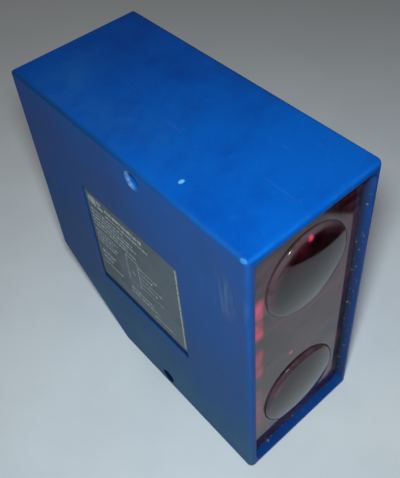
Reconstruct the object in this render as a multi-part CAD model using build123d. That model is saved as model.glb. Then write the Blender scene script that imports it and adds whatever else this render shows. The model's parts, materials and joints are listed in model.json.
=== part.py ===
from build123d import *
import math
import os

# Photoelectric sensor in a die-cast block housing, in millimetres.
# The origin is the middle of the bounding box's bottom face: +X is the width,
# -Y is the side the lenses look out of, +Y is the wiring side and +Z is up.

# Housing block
WIDTH = 54.0
DEPTH = 118.0
HEIGHT = 125.0
CHAMFER_RUN = 39.25
CHAMFER_RISE = 33.0
FRONT_EDGE_RADIUS = 2.2
EDGE_RADIUS = 1.2
WALL = 3.0
FRONT_Y = -DEPTH / 2
REAR_Y = DEPTH / 2
MID_Z = HEIGHT / 2
INNER_X = WIDTH / 2 - WALL
CHAMFER_ANGLE = math.atan2(CHAMFER_RISE, CHAMFER_RUN)
CHAMFER_START_Y = REAR_Y - CHAMFER_RUN

# Through holes for the two fixing screws, which run across the housing
FIXING_HOLE_RADIUS = 2.75
FIXING_BOSS_RADIUS = 5.5
FIXING_HOLE_Y = -10.0
FIXING_EDGE_DISTANCE = 5.5
FIXING_HOLE_CHAMFER = 0.6
FIXING_HOLE_HEIGHTS = (FIXING_EDGE_DISTANCE, HEIGHT - FIXING_EDGE_DISTANCE)

# Rating label and its pocket, on the -X side
POCKET_DEPTH = 0.8
POCKET_Y = (-27.0, 25.7)
POCKET_Z = (39.5, 92.5)
LABEL_Y = (-26.3, 25.0)
LABEL_Z = (43.5, 92.0)
LABEL_THICKNESS = 0.4
LABEL_CORNER = 0.8

# Front opening, lens panel, seal and optics. The panel sits in a straight seat, which flares
# out to the thin rim in front of it and narrows to the optics' pocket behind it.
PANEL_SEAT = (46.2, 117.2)
PANEL_SEAT_CORNER = 2.5
FLARE = 1.3
FRONT_OPENING = (44.0, 115.0)
FRONT_OPENING_CORNER = 3.5
PANEL_CLEARANCE = 0.3
PANEL_RECESS = 3.0
PANEL_THICKNESS = 2.5
SEAL_THICKNESS = 1.0
SEAL_SHORTFALL = 0.4
OPTICS_FLANGE = 2.0
LEDGE_THICKNESS = 3.0
LEDGE_WIDTH = 2.0
FRONT_LEDGE_CHAMFER = 8.0
PANEL_FRONT_Y = FRONT_Y + PANEL_RECESS
PANEL_BACK_Y = PANEL_FRONT_Y + PANEL_THICKNESS
OPTICS_FRONT_Y = PANEL_BACK_Y + SEAL_THICKNESS
LEDGE_FACE_Y = OPTICS_FRONT_Y + OPTICS_FLANGE
LEDGE_BACK_Y = LEDGE_FACE_Y + LEDGE_THICKNESS
LENS_SPACING = 67.6
EMITTER_Z = MID_Z + LENS_SPACING / 2
RECEIVER_Z = MID_Z - LENS_SPACING / 2
DOME_RADIUS = 16.0
DOME_SAG = 1.4
LENS_TOP_FLAT = 0.5
SHOULDER_RADIUS = 1.7
SHOULDER_END_SLOPE = math.radians(80)
CHANNEL_MOUTH_RADIUS = 18.3
CHANNEL_FRONT_RADIUS = 17.3
CHANNEL_REAR_RADIUS = 6.0
CHANNEL_WALL = 2.0
OPTICS_PLATE_Y = (-16.0, -14.0)
OPTICS_PLATE = (30.0, 98.0)
OPTICS_SCREW_X = 17.9
OPTICS_SCREW_EDGE = 9.1
OPTICS_SCREW_SEAT = 1.2
FILTER_THICKNESS = 0.8
FILTER_CLEARANCE = 0.1

# Emitter and receiver boards behind the optics
LIGHT_BOARD_SIDE = 28.0
BOARD_THICKNESS = 1.6
BOARD_SPACER = 1.0
LIGHT_BOARD_Y = OPTICS_PLATE_Y[1] + BOARD_SPACER
LIGHT_BOARD_SCREW_OFFSET = 10.0
LED_RADIUS = 2.5
LED_HOLE_RADIUS = 2.6
PHOTODIODE_RADIUS = 4.2
PHOTODIODE_HOLE_RADIUS = 4.4

# Rear opening, cover, seal and controls
REAR_OPENING = (46.0, 84.0)
REAR_OPENING_MID_Z = 79.0
REAR_OPENING_CORNER = 4.0
REAR_RECESS = 5.0
REAR_LEDGE_WIDTH = 3.0
REAR_LEDGE_CHAMFER = 8.5
REAR_LEDGE_Y = REAR_Y - REAR_RECESS
CAVITY_REAR_Y = REAR_LEDGE_Y - LEDGE_THICKNESS
COVER_CLEARANCE = 0.3
COVER_INNER_Y = REAR_LEDGE_Y + SEAL_THICKNESS
COVER_OUTER_Y = REAR_Y - 0.7
COVER_SCREW_X = 17.9
COVER_SCREW_EDGE = 5.1
COVER_SCREW_HEIGHTS = (
    REAR_OPENING_MID_Z - REAR_OPENING[1] / 2 + COVER_SCREW_EDGE,
    REAR_OPENING_MID_Z + REAR_OPENING[1] / 2 - COVER_SCREW_EDGE,
)
COVER_SCREW_TIP_Y = 46.0
COVER_BOSS_RADIUS = 3.2
COVER_BOSS_FRONT_Y = 44.0
TRAY_OPENING = (34.0, 32.0)
TRAY_MID_Z = 93.0
TRAY_WALL = 1.6
TRAY_FLOOR_Y = (51.6, 53.6)
KNOB_X = 8.5
KNOB_HEIGHTS = (86.0, 100.0)
KNOB_HEAD_RADIUS = 4.0
KNOB_HOLE_RADIUS = 4.3
KNOB_HEAD_Y = (50.0, 57.6)
KNOB_SHAFT_RADIUS = 2.0
KNOB_SHAFT_FIT = 0.05
KNOB_SHAFT_END_Y = 39.3
INDICATOR_X = 6.0
INDICATOR_Z = 113.8
INDICATOR_RADIUS = 1.75
INDICATOR_FLANGE_RADIUS = 2.4
INDICATOR_FLANGE_THICKNESS = 1.5
INDICATOR_PIPE_START_Y = 43.5
INDICATOR_PROUD = 0.4
COVER_SCREW_HEAD_DEPTH = 2.0
OUTER_RIM_CHAMFER = 0.5

# Control board, terminal block and earth terminal in the wiring space
CONTROL_BOARD_Y = 36.0
CONTROL_BOARD_Z = (47.0, 116.0)
CONTROL_BOARD_HALF_WIDTH = 19.6
CONTROL_BOARD_CHAMFER = 9.0
CONTROL_SCREW_X = 17.0
CONTROL_SCREW_HEIGHTS = (51.0, 107.0)
CONTROL_REAR_Y = CONTROL_BOARD_Y + BOARD_THICKNESS
POT_SIDE = 9.5
POT_DEPTH = 5.0
POLE_COUNT = 7
POLE_PITCH = 5.08
TERMINAL_END_WALL = 0.5
TERMINAL_Z = (56.0, 74.0)
TERMINAL_REAR_Y = 50.0
TERMINAL_SCREW_Z = TERMINAL_Z[0] + 8.0
TERMINAL_POCKET_Y = (41.0, 46.0)
TERMINAL_CLAMP_Y = (41.2, 45.8)
TERMINAL_SCREW_RADIUS = 0.9
EARTH_SCREW_X = -9.5
EARTH_SCREW_Z = 43.0
EARTH_SHELF_Y = (33.0, 41.0)
EARTH_SHELF_HALF_HEIGHT = 3.5
EARTH_TAPPED_RADIUS = 2.0
EARTH_TAPPED_DEPTH = 7.0
EARTH_WASHER_THICKNESS = 0.8

# Main board on the +X wall
MAIN_BOARD_X = 17.0
MAIN_BOARD_Y = (-4.0, 26.0)
MAIN_BOARD_Z = (24.0, 100.0)
MAIN_SCREW_INSET_Y = 4.0
MAIN_SCREW_INSET_Z = 3.0
TRANSFORMER_Y = 10.0
TRANSFORMER_Z = 62.0
TRANSFORMER_HEIGHT = 20.0
TRANSFORMER_HALF_DEPTH = 7.0
TRANSFORMER_HALF_LENGTH = 14.0
TRANSFORMER_YOKE = 4.0
TRANSFORMER_LIMB_HALF = 4.0
RELAY_HEIGHT = 15.5
RELAY_Y = (6.0, 18.7)
RELAY_Z = (27.0, 47.0)
CAPACITOR_RADIUS = 6.0
CAPACITOR_LENGTH = 18.0
CAPACITOR_PLACE = (12.0, 85.0)
HEADER_WIDTH = 8.0
HEADER_DEPTH = 4.0
HEADER_THICKNESS = 4.0
LIGHT_HEADER_DEPTH = 3.0
RIBBON_X = 8.0
FORWARD_RIBBON_Y = -1.0
REAR_RIBBON_Y = 22.0
RIBBON_THICKNESS = 0.6
RIBBON_BEND = 2.5
EMITTER_HEADER_Z = 88.0
RECEIVER_HEADER_Z = 37.0

# Cable gland, square to the chamfer. Distances run outwards from the chamfer face.
GLAND_ALONG_CHAMFER = 27.0
GLAND_HOLE_RADIUS = 8.1
GLAND_SHANK_RADIUS = 7.95
GLAND_BORE_RADIUS = 5.0
GLAND_THREAD_RADIUS = 7.0
GLAND_HEX_FLATS = 18.0
GLAND_INNER_END = -9.0
GLAND_COLLAR = (1.0, 5.0)
GLAND_OUTER_END = 12.5
GLAND_NUT_START = 5.3
GLAND_NUT_HEX_END = 11.5
GLAND_NUT_END = 16.0
GLAND_NUT_FIT = 0.08
GLAND_NUT_SHOULDER = 12.8
GLAND_NUT_MOUTH_RADIUS = 4.4
GLAND_NUT_DOME_RADII = (9.0, 6.2)
CABLE_RADIUS = 3.1
CABLE_SEAL = (6.0, 12.3)
LOCKNUT_THICKNESS = 3.5
LOCKNUT_FLATS = 19.0

# Screws
M3_SHANK_RADIUS = 1.2
M3_TAPPED_RADIUS = 1.25
M3_CLEARANCE_RADIUS = 1.5
M3_HEAD_RADIUS = 2.7
M3_HEAD_HEIGHT = 2.0

REARWARDS = (0, 1, 0)
FORWARDS = (0, -1, 0)
TO_RIGHT = (1, 0, 0)
TO_LEFT = (-1, 0, 0)


def slab(shape, front, back, x=0.0, z=0.0):
    """A plane figure in X and Z, centred at x and z, made solid from front to back along Y."""
    plane = Plane((x, front, z), x_dir=TO_RIGHT, z_dir=REARWARDS)
    return extrude(plane * shape, back - front)


def block(x_range, y_range, z_range):
    """A rectangular block between pairs of limits."""
    sizes = [high - low for low, high in (x_range, y_range, z_range)]
    middles = [(high + low) / 2 for low, high in (x_range, y_range, z_range)]
    return Pos(*middles) * Box(*sizes)


def rod(radius, start, direction, length):
    """A solid cylinder from start, along direction."""
    alignment = (Align.CENTER, Align.CENTER, Align.MIN)
    return Plane(start, z_dir=direction) * Cylinder(radius, length, align=alignment)


def ring(outer, inner, start, direction, length):
    """A tube with the two radii, from start, along direction."""
    return rod(outer, start, direction, length) - rod(inner, start, direction, length)


def frustum(start_radius, end_radius, start, direction, length):
    alignment = (Align.CENTER, Align.CENTER, Align.MIN)
    return Plane(start, z_dir=direction) * Cone(start_radius, end_radius, length, align=alignment)


def hexagon(across_flats, start, direction, length):
    outline = RegularPolygon(across_flats / 2, 6, major_radius=False)
    return extrude(Plane(start, x_dir=TO_RIGHT, z_dir=direction) * outline, length)


def cut_corners(width, height, size):
    """A rectangle with its four corners cut off at 45 degrees."""
    outline = Rectangle(width, height)
    return chamfer(outline.vertices(), size)


def screw(seat, outwards, shank_length, head_radius=M3_HEAD_RADIUS, head_height=M3_HEAD_HEIGHT,
          shank_radius=M3_SHANK_RADIUS):
    """A pan-head screw with a cross recess. The head stands outwards from its seat."""
    seat = Vector(*seat)
    outwards = Vector(*outwards)
    head = rod(head_radius, seat, outwards, head_height)
    rim = head.faces().sort_by(Axis(seat, outwards))[-1].edges()
    head = fillet(rim, head_height * 0.35)
    shank = rod(shank_radius, seat, outwards * -1, shank_length)
    recess_plane = Plane(seat + outwards * head_height, z_dir=outwards)
    slot = Box(head_radius * 1.1, head_radius * 0.25, head_height * 0.9)
    cross = slot + Rot(0, 0, 90) * slot
    return head + shank - recess_plane * cross


def chamfer_point(along, outwards, x=0.0):
    """A point on the chamfer, measured up along it, and then squarely outwards from it."""
    y = CHAMFER_START_Y + along * math.cos(CHAMFER_ANGLE) + outwards * math.sin(CHAMFER_ANGLE)
    z = along * math.sin(CHAMFER_ANGLE) - outwards * math.cos(CHAMFER_ANGLE)
    return Vector(x, y, z)


CHAMFER_NORMAL = Vector(0, math.sin(CHAMFER_ANGLE), -math.cos(CHAMFER_ANGLE))


def gland_point(outwards):
    return chamfer_point(GLAND_ALONG_CHAMFER, outwards)


def side_profile(inset, front_y, rear_y):
    """The housing's side outline in Y and Z, moved inwards by inset."""
    slope = math.tan(CHAMFER_ANGLE)
    shift = inset * math.sin(CHAMFER_ANGLE)
    low_y = CHAMFER_START_Y - shift + inset * (1 - math.cos(CHAMFER_ANGLE)) / slope
    rear_z = inset * math.cos(CHAMFER_ANGLE) + (rear_y - CHAMFER_START_Y + shift) * slope
    top_z = HEIGHT - inset
    outline = Polyline(
        (front_y, inset), (low_y, inset), (rear_y, rear_z), (rear_y, top_z), (front_y, top_z),
        close=True,
    )
    return Plane.YZ * make_face(outline)


def outer_block():
    body = extrude(side_profile(0, FRONT_Y, REAR_Y), WIDTH / 2, both=True)
    front_edges = body.faces().sort_by(Axis.Y)[0].edges()
    body = fillet(front_edges, FRONT_EDGE_RADIUS)
    front_limit = FRONT_Y + FRONT_EDGE_RADIUS
    straight = body.edges().filter_by(GeomType.LINE)
    long_edges = [edge for edge in straight if edge.bounding_box().max.Y > front_limit + 1]
    return fillet(long_edges, EDGE_RADIUS)


def front_mouth():
    """The panel's seat and the flare in front of it."""
    beyond_face = 1.0
    seat = RectangleRounded(*PANEL_SEAT, PANEL_SEAT_CORNER)
    mouth = slab(seat, PANEL_FRONT_Y, PANEL_BACK_Y, z=MID_Z)
    plane = Plane((0, PANEL_FRONT_Y, MID_Z), x_dir=TO_RIGHT, z_dir=FORWARDS)
    flare_angle = math.degrees(math.atan2(FLARE, PANEL_RECESS))
    return mouth + extrude(plane * seat, PANEL_RECESS + beyond_face, taper=-flare_angle)


def front_ledge_hole():
    width = FRONT_OPENING[0] - 2 * LEDGE_WIDTH
    height = FRONT_OPENING[1] - 2 * LEDGE_WIDTH
    return cut_corners(width, height, FRONT_LEDGE_CHAMFER)


def rear_ledge_hole():
    width = REAR_OPENING[0] - 2 * REAR_LEDGE_WIDTH
    height = REAR_OPENING[1] - 2 * REAR_LEDGE_WIDTH
    return cut_corners(width, height, REAR_LEDGE_CHAMFER)


def optics_screw_places():
    for x in (-OPTICS_SCREW_X, OPTICS_SCREW_X):
        for z in (OPTICS_SCREW_EDGE, HEIGHT - OPTICS_SCREW_EDGE):
            yield x, z


def cover_screw_places():
    for x in (-COVER_SCREW_X, COVER_SCREW_X):
        for z in COVER_SCREW_HEIGHTS:
            yield x, z


def control_screw_places():
    for x in (-CONTROL_SCREW_X, CONTROL_SCREW_X):
        for z in CONTROL_SCREW_HEIGHTS:
            yield x, z


def main_screw_places():
    for y in (MAIN_BOARD_Y[0] + MAIN_SCREW_INSET_Y, MAIN_BOARD_Y[1] - MAIN_SCREW_INSET_Y):
        for z in (MAIN_BOARD_Z[0] + MAIN_SCREW_INSET_Z, MAIN_BOARD_Z[1] - MAIN_SCREW_INSET_Z):
            yield y, z


def knob_places():
    for x in (-KNOB_X, KNOB_X):
        for z in KNOB_HEIGHTS:
            yield x, z


def fixing_tube(z):
    """The tube that carries one fixing screw through the cavity, sunk into both walls."""
    reach = INNER_X + WALL / 3
    return rod(FIXING_BOSS_RADIUS, (-reach, FIXING_HOLE_Y, z), TO_RIGHT, 2 * reach)


def fixing_hole(z):
    """One through hole along X, with a small countersink at each end."""
    hole = rod(FIXING_HOLE_RADIUS, (-WIDTH / 2 - 1, FIXING_HOLE_Y, z), TO_RIGHT, WIDTH + 2)
    wide = FIXING_HOLE_RADIUS + FIXING_HOLE_CHAMFER
    for direction in (TO_LEFT, TO_RIGHT):
        inner_x = direction[0] * (WIDTH / 2 - FIXING_HOLE_CHAMFER)
        start = (inner_x, FIXING_HOLE_Y, z)
        hole += frustum(FIXING_HOLE_RADIUS, wide, start, direction, FIXING_HOLE_CHAMFER)
    return hole


def control_post(x, z):
    """A cast rib on the side wall that one corner of the control board screws to."""
    inner_gap = 2.5
    rib_depth = 8.0
    half_height = 3.0
    tapped_depth = 6.0
    inner = abs(x) - inner_gap
    x_range = (inner, INNER_X + 1) if x > 0 else (-INNER_X - 1, -inner)
    y_range = (CONTROL_BOARD_Y - rib_depth, CONTROL_BOARD_Y)
    rib = block(x_range, y_range, (z - half_height, z + half_height))
    return rib - rod(M3_TAPPED_RADIUS, (x, CONTROL_BOARD_Y - tapped_depth, z), REARWARDS, tapped_depth)


def main_post(y, z):
    """A cast post on the +X wall that one corner of the main board screws to."""
    post_radius = 3.0
    tapped_depth = 4.5
    board_back = MAIN_BOARD_X + BOARD_THICKNESS
    post = rod(post_radius, (board_back, y, z), TO_RIGHT, INNER_X + 1 - board_back)
    return post - rod(M3_TAPPED_RADIUS, (board_back, y, z), TO_RIGHT, tapped_depth)


def earth_shelf():
    """The cast shelf on the -X wall that carries the earth screw."""
    beyond_screw = 4.0
    z_range = (EARTH_SCREW_Z - EARTH_SHELF_HALF_HEIGHT, EARTH_SCREW_Z + EARTH_SHELF_HALF_HEIGHT)
    shelf = block((-INNER_X - 1, EARTH_SCREW_X + beyond_screw), EARTH_SHELF_Y, z_range)
    hole_start = (EARTH_SCREW_X, EARTH_SHELF_Y[1] - EARTH_TAPPED_DEPTH, EARTH_SCREW_Z)
    return shelf - rod(EARTH_TAPPED_RADIUS, hole_start, REARWARDS, EARTH_TAPPED_DEPTH)


def housing():
    """The die-cast shell with its tubes, posts, ledges, openings, holes and label pocket."""
    body = outer_block()
    cavity = extrude(side_profile(WALL, LEDGE_BACK_Y, CAVITY_REAR_Y), INNER_X, both=True)
    body -= cavity
    for z in FIXING_HOLE_HEIGHTS:
        body += fixing_tube(z)
    for x, z in control_screw_places():
        body += control_post(x, z)
    for y, z in main_screw_places():
        body += main_post(y, z)
    for x, z in cover_screw_places():
        length = CAVITY_REAR_Y - COVER_BOSS_FRONT_Y
        body += rod(COVER_BOSS_RADIUS, (x, COVER_BOSS_FRONT_Y, z), REARWARDS, length)
    body += earth_shelf()
    body -= front_mouth()
    front = RectangleRounded(*FRONT_OPENING, FRONT_OPENING_CORNER)
    body -= slab(front, PANEL_BACK_Y, LEDGE_FACE_Y, z=MID_Z)
    body -= slab(front_ledge_hole(), LEDGE_FACE_Y, LEDGE_BACK_Y, z=MID_Z)
    rear = RectangleRounded(*REAR_OPENING, REAR_OPENING_CORNER)
    body -= slab(rear, REAR_LEDGE_Y, REAR_Y + 1, z=REAR_OPENING_MID_Z)
    body -= slab(rear_ledge_hole(), CAVITY_REAR_Y, REAR_LEDGE_Y, z=REAR_OPENING_MID_Z)
    for x, z in optics_screw_places():
        body -= rod(M3_TAPPED_RADIUS, (x, LEDGE_FACE_Y, z), REARWARDS, LEDGE_THICKNESS)
    tapped_end = COVER_SCREW_TIP_Y - 0.5
    for x, z in cover_screw_places():
        body -= rod(M3_TAPPED_RADIUS, (x, tapped_end, z), REARWARDS, REAR_LEDGE_Y - tapped_end)
    for z in FIXING_HOLE_HEIGHTS:
        body -= fixing_hole(z)
    body -= rod(GLAND_HOLE_RADIUS, gland_point(-WALL - 1), CHAMFER_NORMAL, WALL + 2)
    left = -WIDTH / 2
    body -= block((left - 1, left + POCKET_DEPTH), POCKET_Y, POCKET_Z)
    return body


def rating_label():
    plane = Plane(
        (-WIDTH / 2 + POCKET_DEPTH, sum(LABEL_Y) / 2, sum(LABEL_Z) / 2),
        x_dir=REARWARDS, z_dir=TO_LEFT,
    )
    size = (LABEL_Y[1] - LABEL_Y[0], LABEL_Z[1] - LABEL_Z[0])
    return extrude(plane * RectangleRounded(*size, LABEL_CORNER), LABEL_THICKNESS)


def lens_bulge(z):
    """A convex lens on the panel's front: a shallow dome, flat at its very middle, on a round shoulder."""
    sphere_radius = (DOME_RADIUS**2 + DOME_SAG**2) / (2 * DOME_SAG)
    edge_slope = math.asin(DOME_RADIUS / sphere_radius)
    middle_slope = (edge_slope + SHOULDER_END_SLOPE) / 2

    def shoulder(slope):
        radius = DOME_RADIUS + SHOULDER_RADIUS * (math.sin(slope) - math.sin(edge_slope))
        drop = SHOULDER_RADIUS * (math.cos(edge_slope) - math.cos(slope))
        return radius, drop

    end_radius, shoulder_drop = shoulder(SHOULDER_END_SLOPE)
    mid_radius, mid_drop = shoulder(middle_slope)

    def dome_point(radius):
        drop = sphere_radius - math.sqrt(sphere_radius**2 - radius**2)
        return radius, shoulder_drop + DOME_SAG - drop

    top = dome_point(LENS_TOP_FLAT)
    dome = ThreePointArc(top, dome_point(DOME_RADIUS / 2), (DOME_RADIUS, shoulder_drop))
    round_off = ThreePointArc(
        (DOME_RADIUS, shoulder_drop), (mid_radius, shoulder_drop - mid_drop), (end_radius, 0)
    )
    closing = Polyline((end_radius, 0), (end_radius, -1), (0, -1), (0, top[1]), top)
    outline = make_face([dome, round_off, closing])
    plane = Plane((0, PANEL_FRONT_Y, z), x_dir=TO_RIGHT, z_dir=(0, 0, 1))
    forwards = Rot(180, 0, 0) * outline
    return revolve(plane * forwards, axis=Axis((0, 0, z), REARWARDS))


def front_lens_panel():
    size = [side - 2 * PANEL_CLEARANCE for side in PANEL_SEAT]
    outline = RectangleRounded(*size, PANEL_SEAT_CORNER - PANEL_CLEARANCE)
    panel = slab(outline, PANEL_FRONT_Y, PANEL_BACK_Y, z=MID_Z)
    for z in (EMITTER_Z, RECEIVER_Z):
        panel += lens_bulge(z)
    return panel


def front_panel_seal():
    margin = 2 * PANEL_CLEARANCE + SEAL_SHORTFALL
    ring_width = 2.0
    outline = RectangleRounded(FRONT_OPENING[0] - margin, FRONT_OPENING[1] - margin, 3.0)
    opening_size = [side - 2 * ring_width for side in FRONT_OPENING]
    opening = RectangleRounded(*opening_size, 2.0)
    return slab(outline - opening, PANEL_BACK_Y, OPTICS_FRONT_Y, z=MID_Z)


def light_channel(z, wall):
    """A tapered plug from the lens to its board, wider than the light's way by wall."""
    length = OPTICS_PLATE_Y[0] - LEDGE_FACE_Y
    start = (0, LEDGE_FACE_Y, z)
    return frustum(CHANNEL_FRONT_RADIUS + wall, CHANNEL_REAR_RADIUS + wall, start, REARWARDS, length)


def light_board_screw_places():
    """Two screws on one diagonal of each light board, the diagonals mirrored."""
    for middle, lean in ((EMITTER_Z, 1), (RECEIVER_Z, -1)):
        for side in (-1, 1):
            yield side * LIGHT_BOARD_SCREW_OFFSET, middle + lean * side * LIGHT_BOARD_SCREW_OFFSET


def optics_frame():
    """A flange behind the lens panel, two tapered tubes, a web between them and a rear plate."""
    web_half_width = 1.2
    spacer_radius = 2.4
    head_gap = 0.1
    rear_depth = LIGHT_BOARD_Y - OPTICS_PLATE_Y[0] + 1
    width = FRONT_OPENING[0] - 2 * PANEL_CLEARANCE
    height = FRONT_OPENING[1] - 2 * PANEL_CLEARANCE
    outline = RectangleRounded(width, height, FRONT_OPENING_CORNER - PANEL_CLEARANCE)
    frame = slab(outline, OPTICS_FRONT_Y, LEDGE_FACE_Y, z=MID_Z)
    plate = RectangleRounded(*OPTICS_PLATE, 3.0)
    frame += slab(plate, *OPTICS_PLATE_Y, z=MID_Z)
    web_y = (LEDGE_FACE_Y, OPTICS_PLATE_Y[0])
    frame += block((-web_half_width, web_half_width), web_y, (RECEIVER_Z, EMITTER_Z))
    for z in (EMITTER_Z, RECEIVER_Z):
        frame += light_channel(z, CHANNEL_WALL)
    for z in (EMITTER_Z, RECEIVER_Z):
        frame -= light_channel(z, 0)
        frame -= rod(CHANNEL_MOUTH_RADIUS, (0, OPTICS_FRONT_Y, z), REARWARDS, OPTICS_FLANGE)
    for x, z in light_board_screw_places():
        frame += rod(spacer_radius, (x, OPTICS_PLATE_Y[1], z), REARWARDS, BOARD_SPACER)
        frame -= rod(M3_TAPPED_RADIUS, (x, OPTICS_PLATE_Y[0], z), REARWARDS, rear_depth)
    for z, radius in ((EMITTER_Z, LED_HOLE_RADIUS), (RECEIVER_Z, PHOTODIODE_HOLE_RADIUS)):
        frame -= rod(radius, (0, OPTICS_PLATE_Y[0], z), REARWARDS, rear_depth)
    for x, z in optics_screw_places():
        frame -= rod(M3_CLEARANCE_RADIUS, (x, OPTICS_FRONT_Y, z), REARWARDS, OPTICS_FLANGE)
        frame -= rod(M3_HEAD_RADIUS + head_gap, (x, OPTICS_FRONT_Y, z), REARWARDS, OPTICS_SCREW_SEAT)
    return frame


def optics_screws():
    """Four low-headed screws, sunk in the flange, that hold the optics to the housing's ledge."""
    seat_y = OPTICS_FRONT_Y + OPTICS_SCREW_SEAT
    shank_length = 3.4
    return [
        screw((x, seat_y, z), FORWARDS, shank_length, head_height=OPTICS_SCREW_SEAT)
        for x, z in optics_screw_places()
    ]


def polarising_filter(z):
    radius = CHANNEL_MOUTH_RADIUS - FILTER_CLEARANCE
    return rod(radius, (0, LEDGE_FACE_Y - FILTER_THICKNESS, z), REARWARDS, FILTER_THICKNESS)


def light_board(z):
    side = Rectangle(LIGHT_BOARD_SIDE, LIGHT_BOARD_SIDE)
    board = slab(side, LIGHT_BOARD_Y, LIGHT_BOARD_Y + BOARD_THICKNESS, z=z)
    for x, screw_z in light_board_screw_places():
        board -= rod(M3_CLEARANCE_RADIUS, (x, LIGHT_BOARD_Y, screw_z), REARWARDS, BOARD_THICKNESS)
    return board


def light_board_screws():
    seat_y = LIGHT_BOARD_Y + BOARD_THICKNESS
    shank_length = 4.4
    head_radius = 2.4
    return [
        screw((x, seat_y, z), REARWARDS, shank_length, head_radius=head_radius)
        for x, z in light_board_screw_places()
    ]


def emitter_led():
    """A round LED with a domed end and a flat on its flange, looking forwards."""
    flange_radius = LED_RADIUS + 0.4
    flat_distance = 2.6
    body_length = 5.5
    plate_back = OPTICS_PLATE_Y[1]
    flange = rod(flange_radius, (0, plate_back, EMITTER_Z), REARWARDS, BOARD_SPACER)
    beyond_flat = (EMITTER_Z - 2 * flange_radius, EMITTER_Z - flat_distance)
    flange -= block((-flange_radius, flange_radius), (plate_back, LIGHT_BOARD_Y), beyond_flat)
    body = rod(LED_RADIUS, (0, plate_back, EMITTER_Z), FORWARDS, body_length)
    dome = Pos(0, plate_back - body_length, EMITTER_Z) * Sphere(LED_RADIUS)
    return flange + body + dome


def receiver_photodiode():
    """A metal can with a flat window, looking forwards through the optics plate."""
    can_length = 4.2
    rim_width = 1.2
    window_depth = 0.5
    can = rod(PHOTODIODE_RADIUS, (0, LIGHT_BOARD_Y, RECEIVER_Z), FORWARDS, can_length)
    window_start = (0, LIGHT_BOARD_Y - can_length, RECEIVER_Z)
    return can - rod(PHOTODIODE_RADIUS - rim_width, window_start, REARWARDS, window_depth)


def octagon_board():
    height = CONTROL_BOARD_Z[1] - CONTROL_BOARD_Z[0]
    return cut_corners(2 * CONTROL_BOARD_HALF_WIDTH, height, CONTROL_BOARD_CHAMFER)


def control_board():
    """An eight-sided board with a square screw tab at each of its four posts."""
    middle = sum(CONTROL_BOARD_Z) / 2
    tab_side = 6.0
    tab_shift = 0.5
    board = slab(octagon_board(), CONTROL_BOARD_Y, CONTROL_REAR_Y, z=middle)
    for x, z in control_screw_places():
        tab_x = x - math.copysign(tab_shift, x)
        board += slab(Rectangle(tab_side, tab_side), CONTROL_BOARD_Y, CONTROL_REAR_Y, x=tab_x, z=z)
        board -= rod(M3_CLEARANCE_RADIUS, (x, CONTROL_BOARD_Y, z), REARWARDS, BOARD_THICKNESS)
    return board


def control_board_screws():
    shank_length = 7.0
    return [screw((x, CONTROL_REAR_Y, z), REARWARDS, shank_length) for x, z in control_screw_places()]


def control_bodies(places):
    """Square bodies of the turning controls, each with a bore for its knob's shaft."""
    corner = 0.6
    end_gap = 0.3
    rear_y = CONTROL_REAR_Y + POT_DEPTH
    bore_start = KNOB_SHAFT_END_Y - end_gap
    bodies = []
    for x, z in places:
        side = RectangleRounded(POT_SIDE, POT_SIDE, corner)
        body = slab(side, CONTROL_REAR_Y, rear_y, x=x, z=z)
        bore = KNOB_SHAFT_RADIUS + KNOB_SHAFT_FIT
        bodies.append(body - rod(bore, (x, bore_start, z), REARWARDS, rear_y - bore_start))
    return bodies


def knob_blank(x, z):
    """A round head with a chamfered rim, on a shaft that reaches into its control's body."""
    head_length = KNOB_HEAD_Y[1] - KNOB_HEAD_Y[0]
    head = rod(KNOB_HEAD_RADIUS, (x, KNOB_HEAD_Y[0], z), REARWARDS, head_length)
    rim = head.faces().sort_by(Axis.Y)[-1].edges()
    head = chamfer(rim, OUTER_RIM_CHAMFER)
    shaft_length = KNOB_HEAD_Y[0] - KNOB_SHAFT_END_Y
    return head + rod(KNOB_SHAFT_RADIUS, (x, KNOB_SHAFT_END_Y, z), REARWARDS, shaft_length)


def slotted_knob(x, z):
    """A screwdriver-set knob: a slot across it and a small pointer notch at its edge."""
    top = KNOB_HEAD_Y[1]
    above = top + 1
    slot_half_length = 3.0
    slot_half_width = 0.6
    slot_depth = 1.6
    notch_half_width = 0.35
    notch_depth = 0.8
    notch_z = (z + 1.6, z + KNOB_HEAD_RADIUS + 1)
    slot = block(
        (x - slot_half_length, x + slot_half_length),
        (top - slot_depth, above),
        (z - slot_half_width, z + slot_half_width),
    )
    pointer = block((x - notch_half_width, x + notch_half_width), (top - notch_depth, above), notch_z)
    return knob_blank(x, z) - slot - pointer


def selector_knob(x, z):
    """The light and dark switching selector: a head cut down to a finger bar with a pointed end."""
    bar_height = 2.2
    bar_half_width = 1.3
    point_start = 2.4
    point_end = 4.2
    beyond = KNOB_HEAD_RADIUS + 1
    top = KNOB_HEAD_Y[1]
    base = top - bar_height
    outline = Polyline(
        (-bar_half_width, -beyond), (-bar_half_width, point_start), (0, point_end),
        (bar_half_width, point_start), (bar_half_width, -beyond), close=True,
    )
    plane = Plane((x, base, z), x_dir=TO_RIGHT, z_dir=FORWARDS)
    bar = extrude(plane * make_face(outline), -beyond)
    shoulder = block((x - beyond, x + beyond), (base, top + 1), (z - beyond, z + beyond))
    return knob_blank(x, z) - (shoulder - bar)


def terminal_xs():
    first = -(POLE_COUNT - 1) / 2 * POLE_PITCH
    return [first + index * POLE_PITCH for index in range(POLE_COUNT)]


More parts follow.
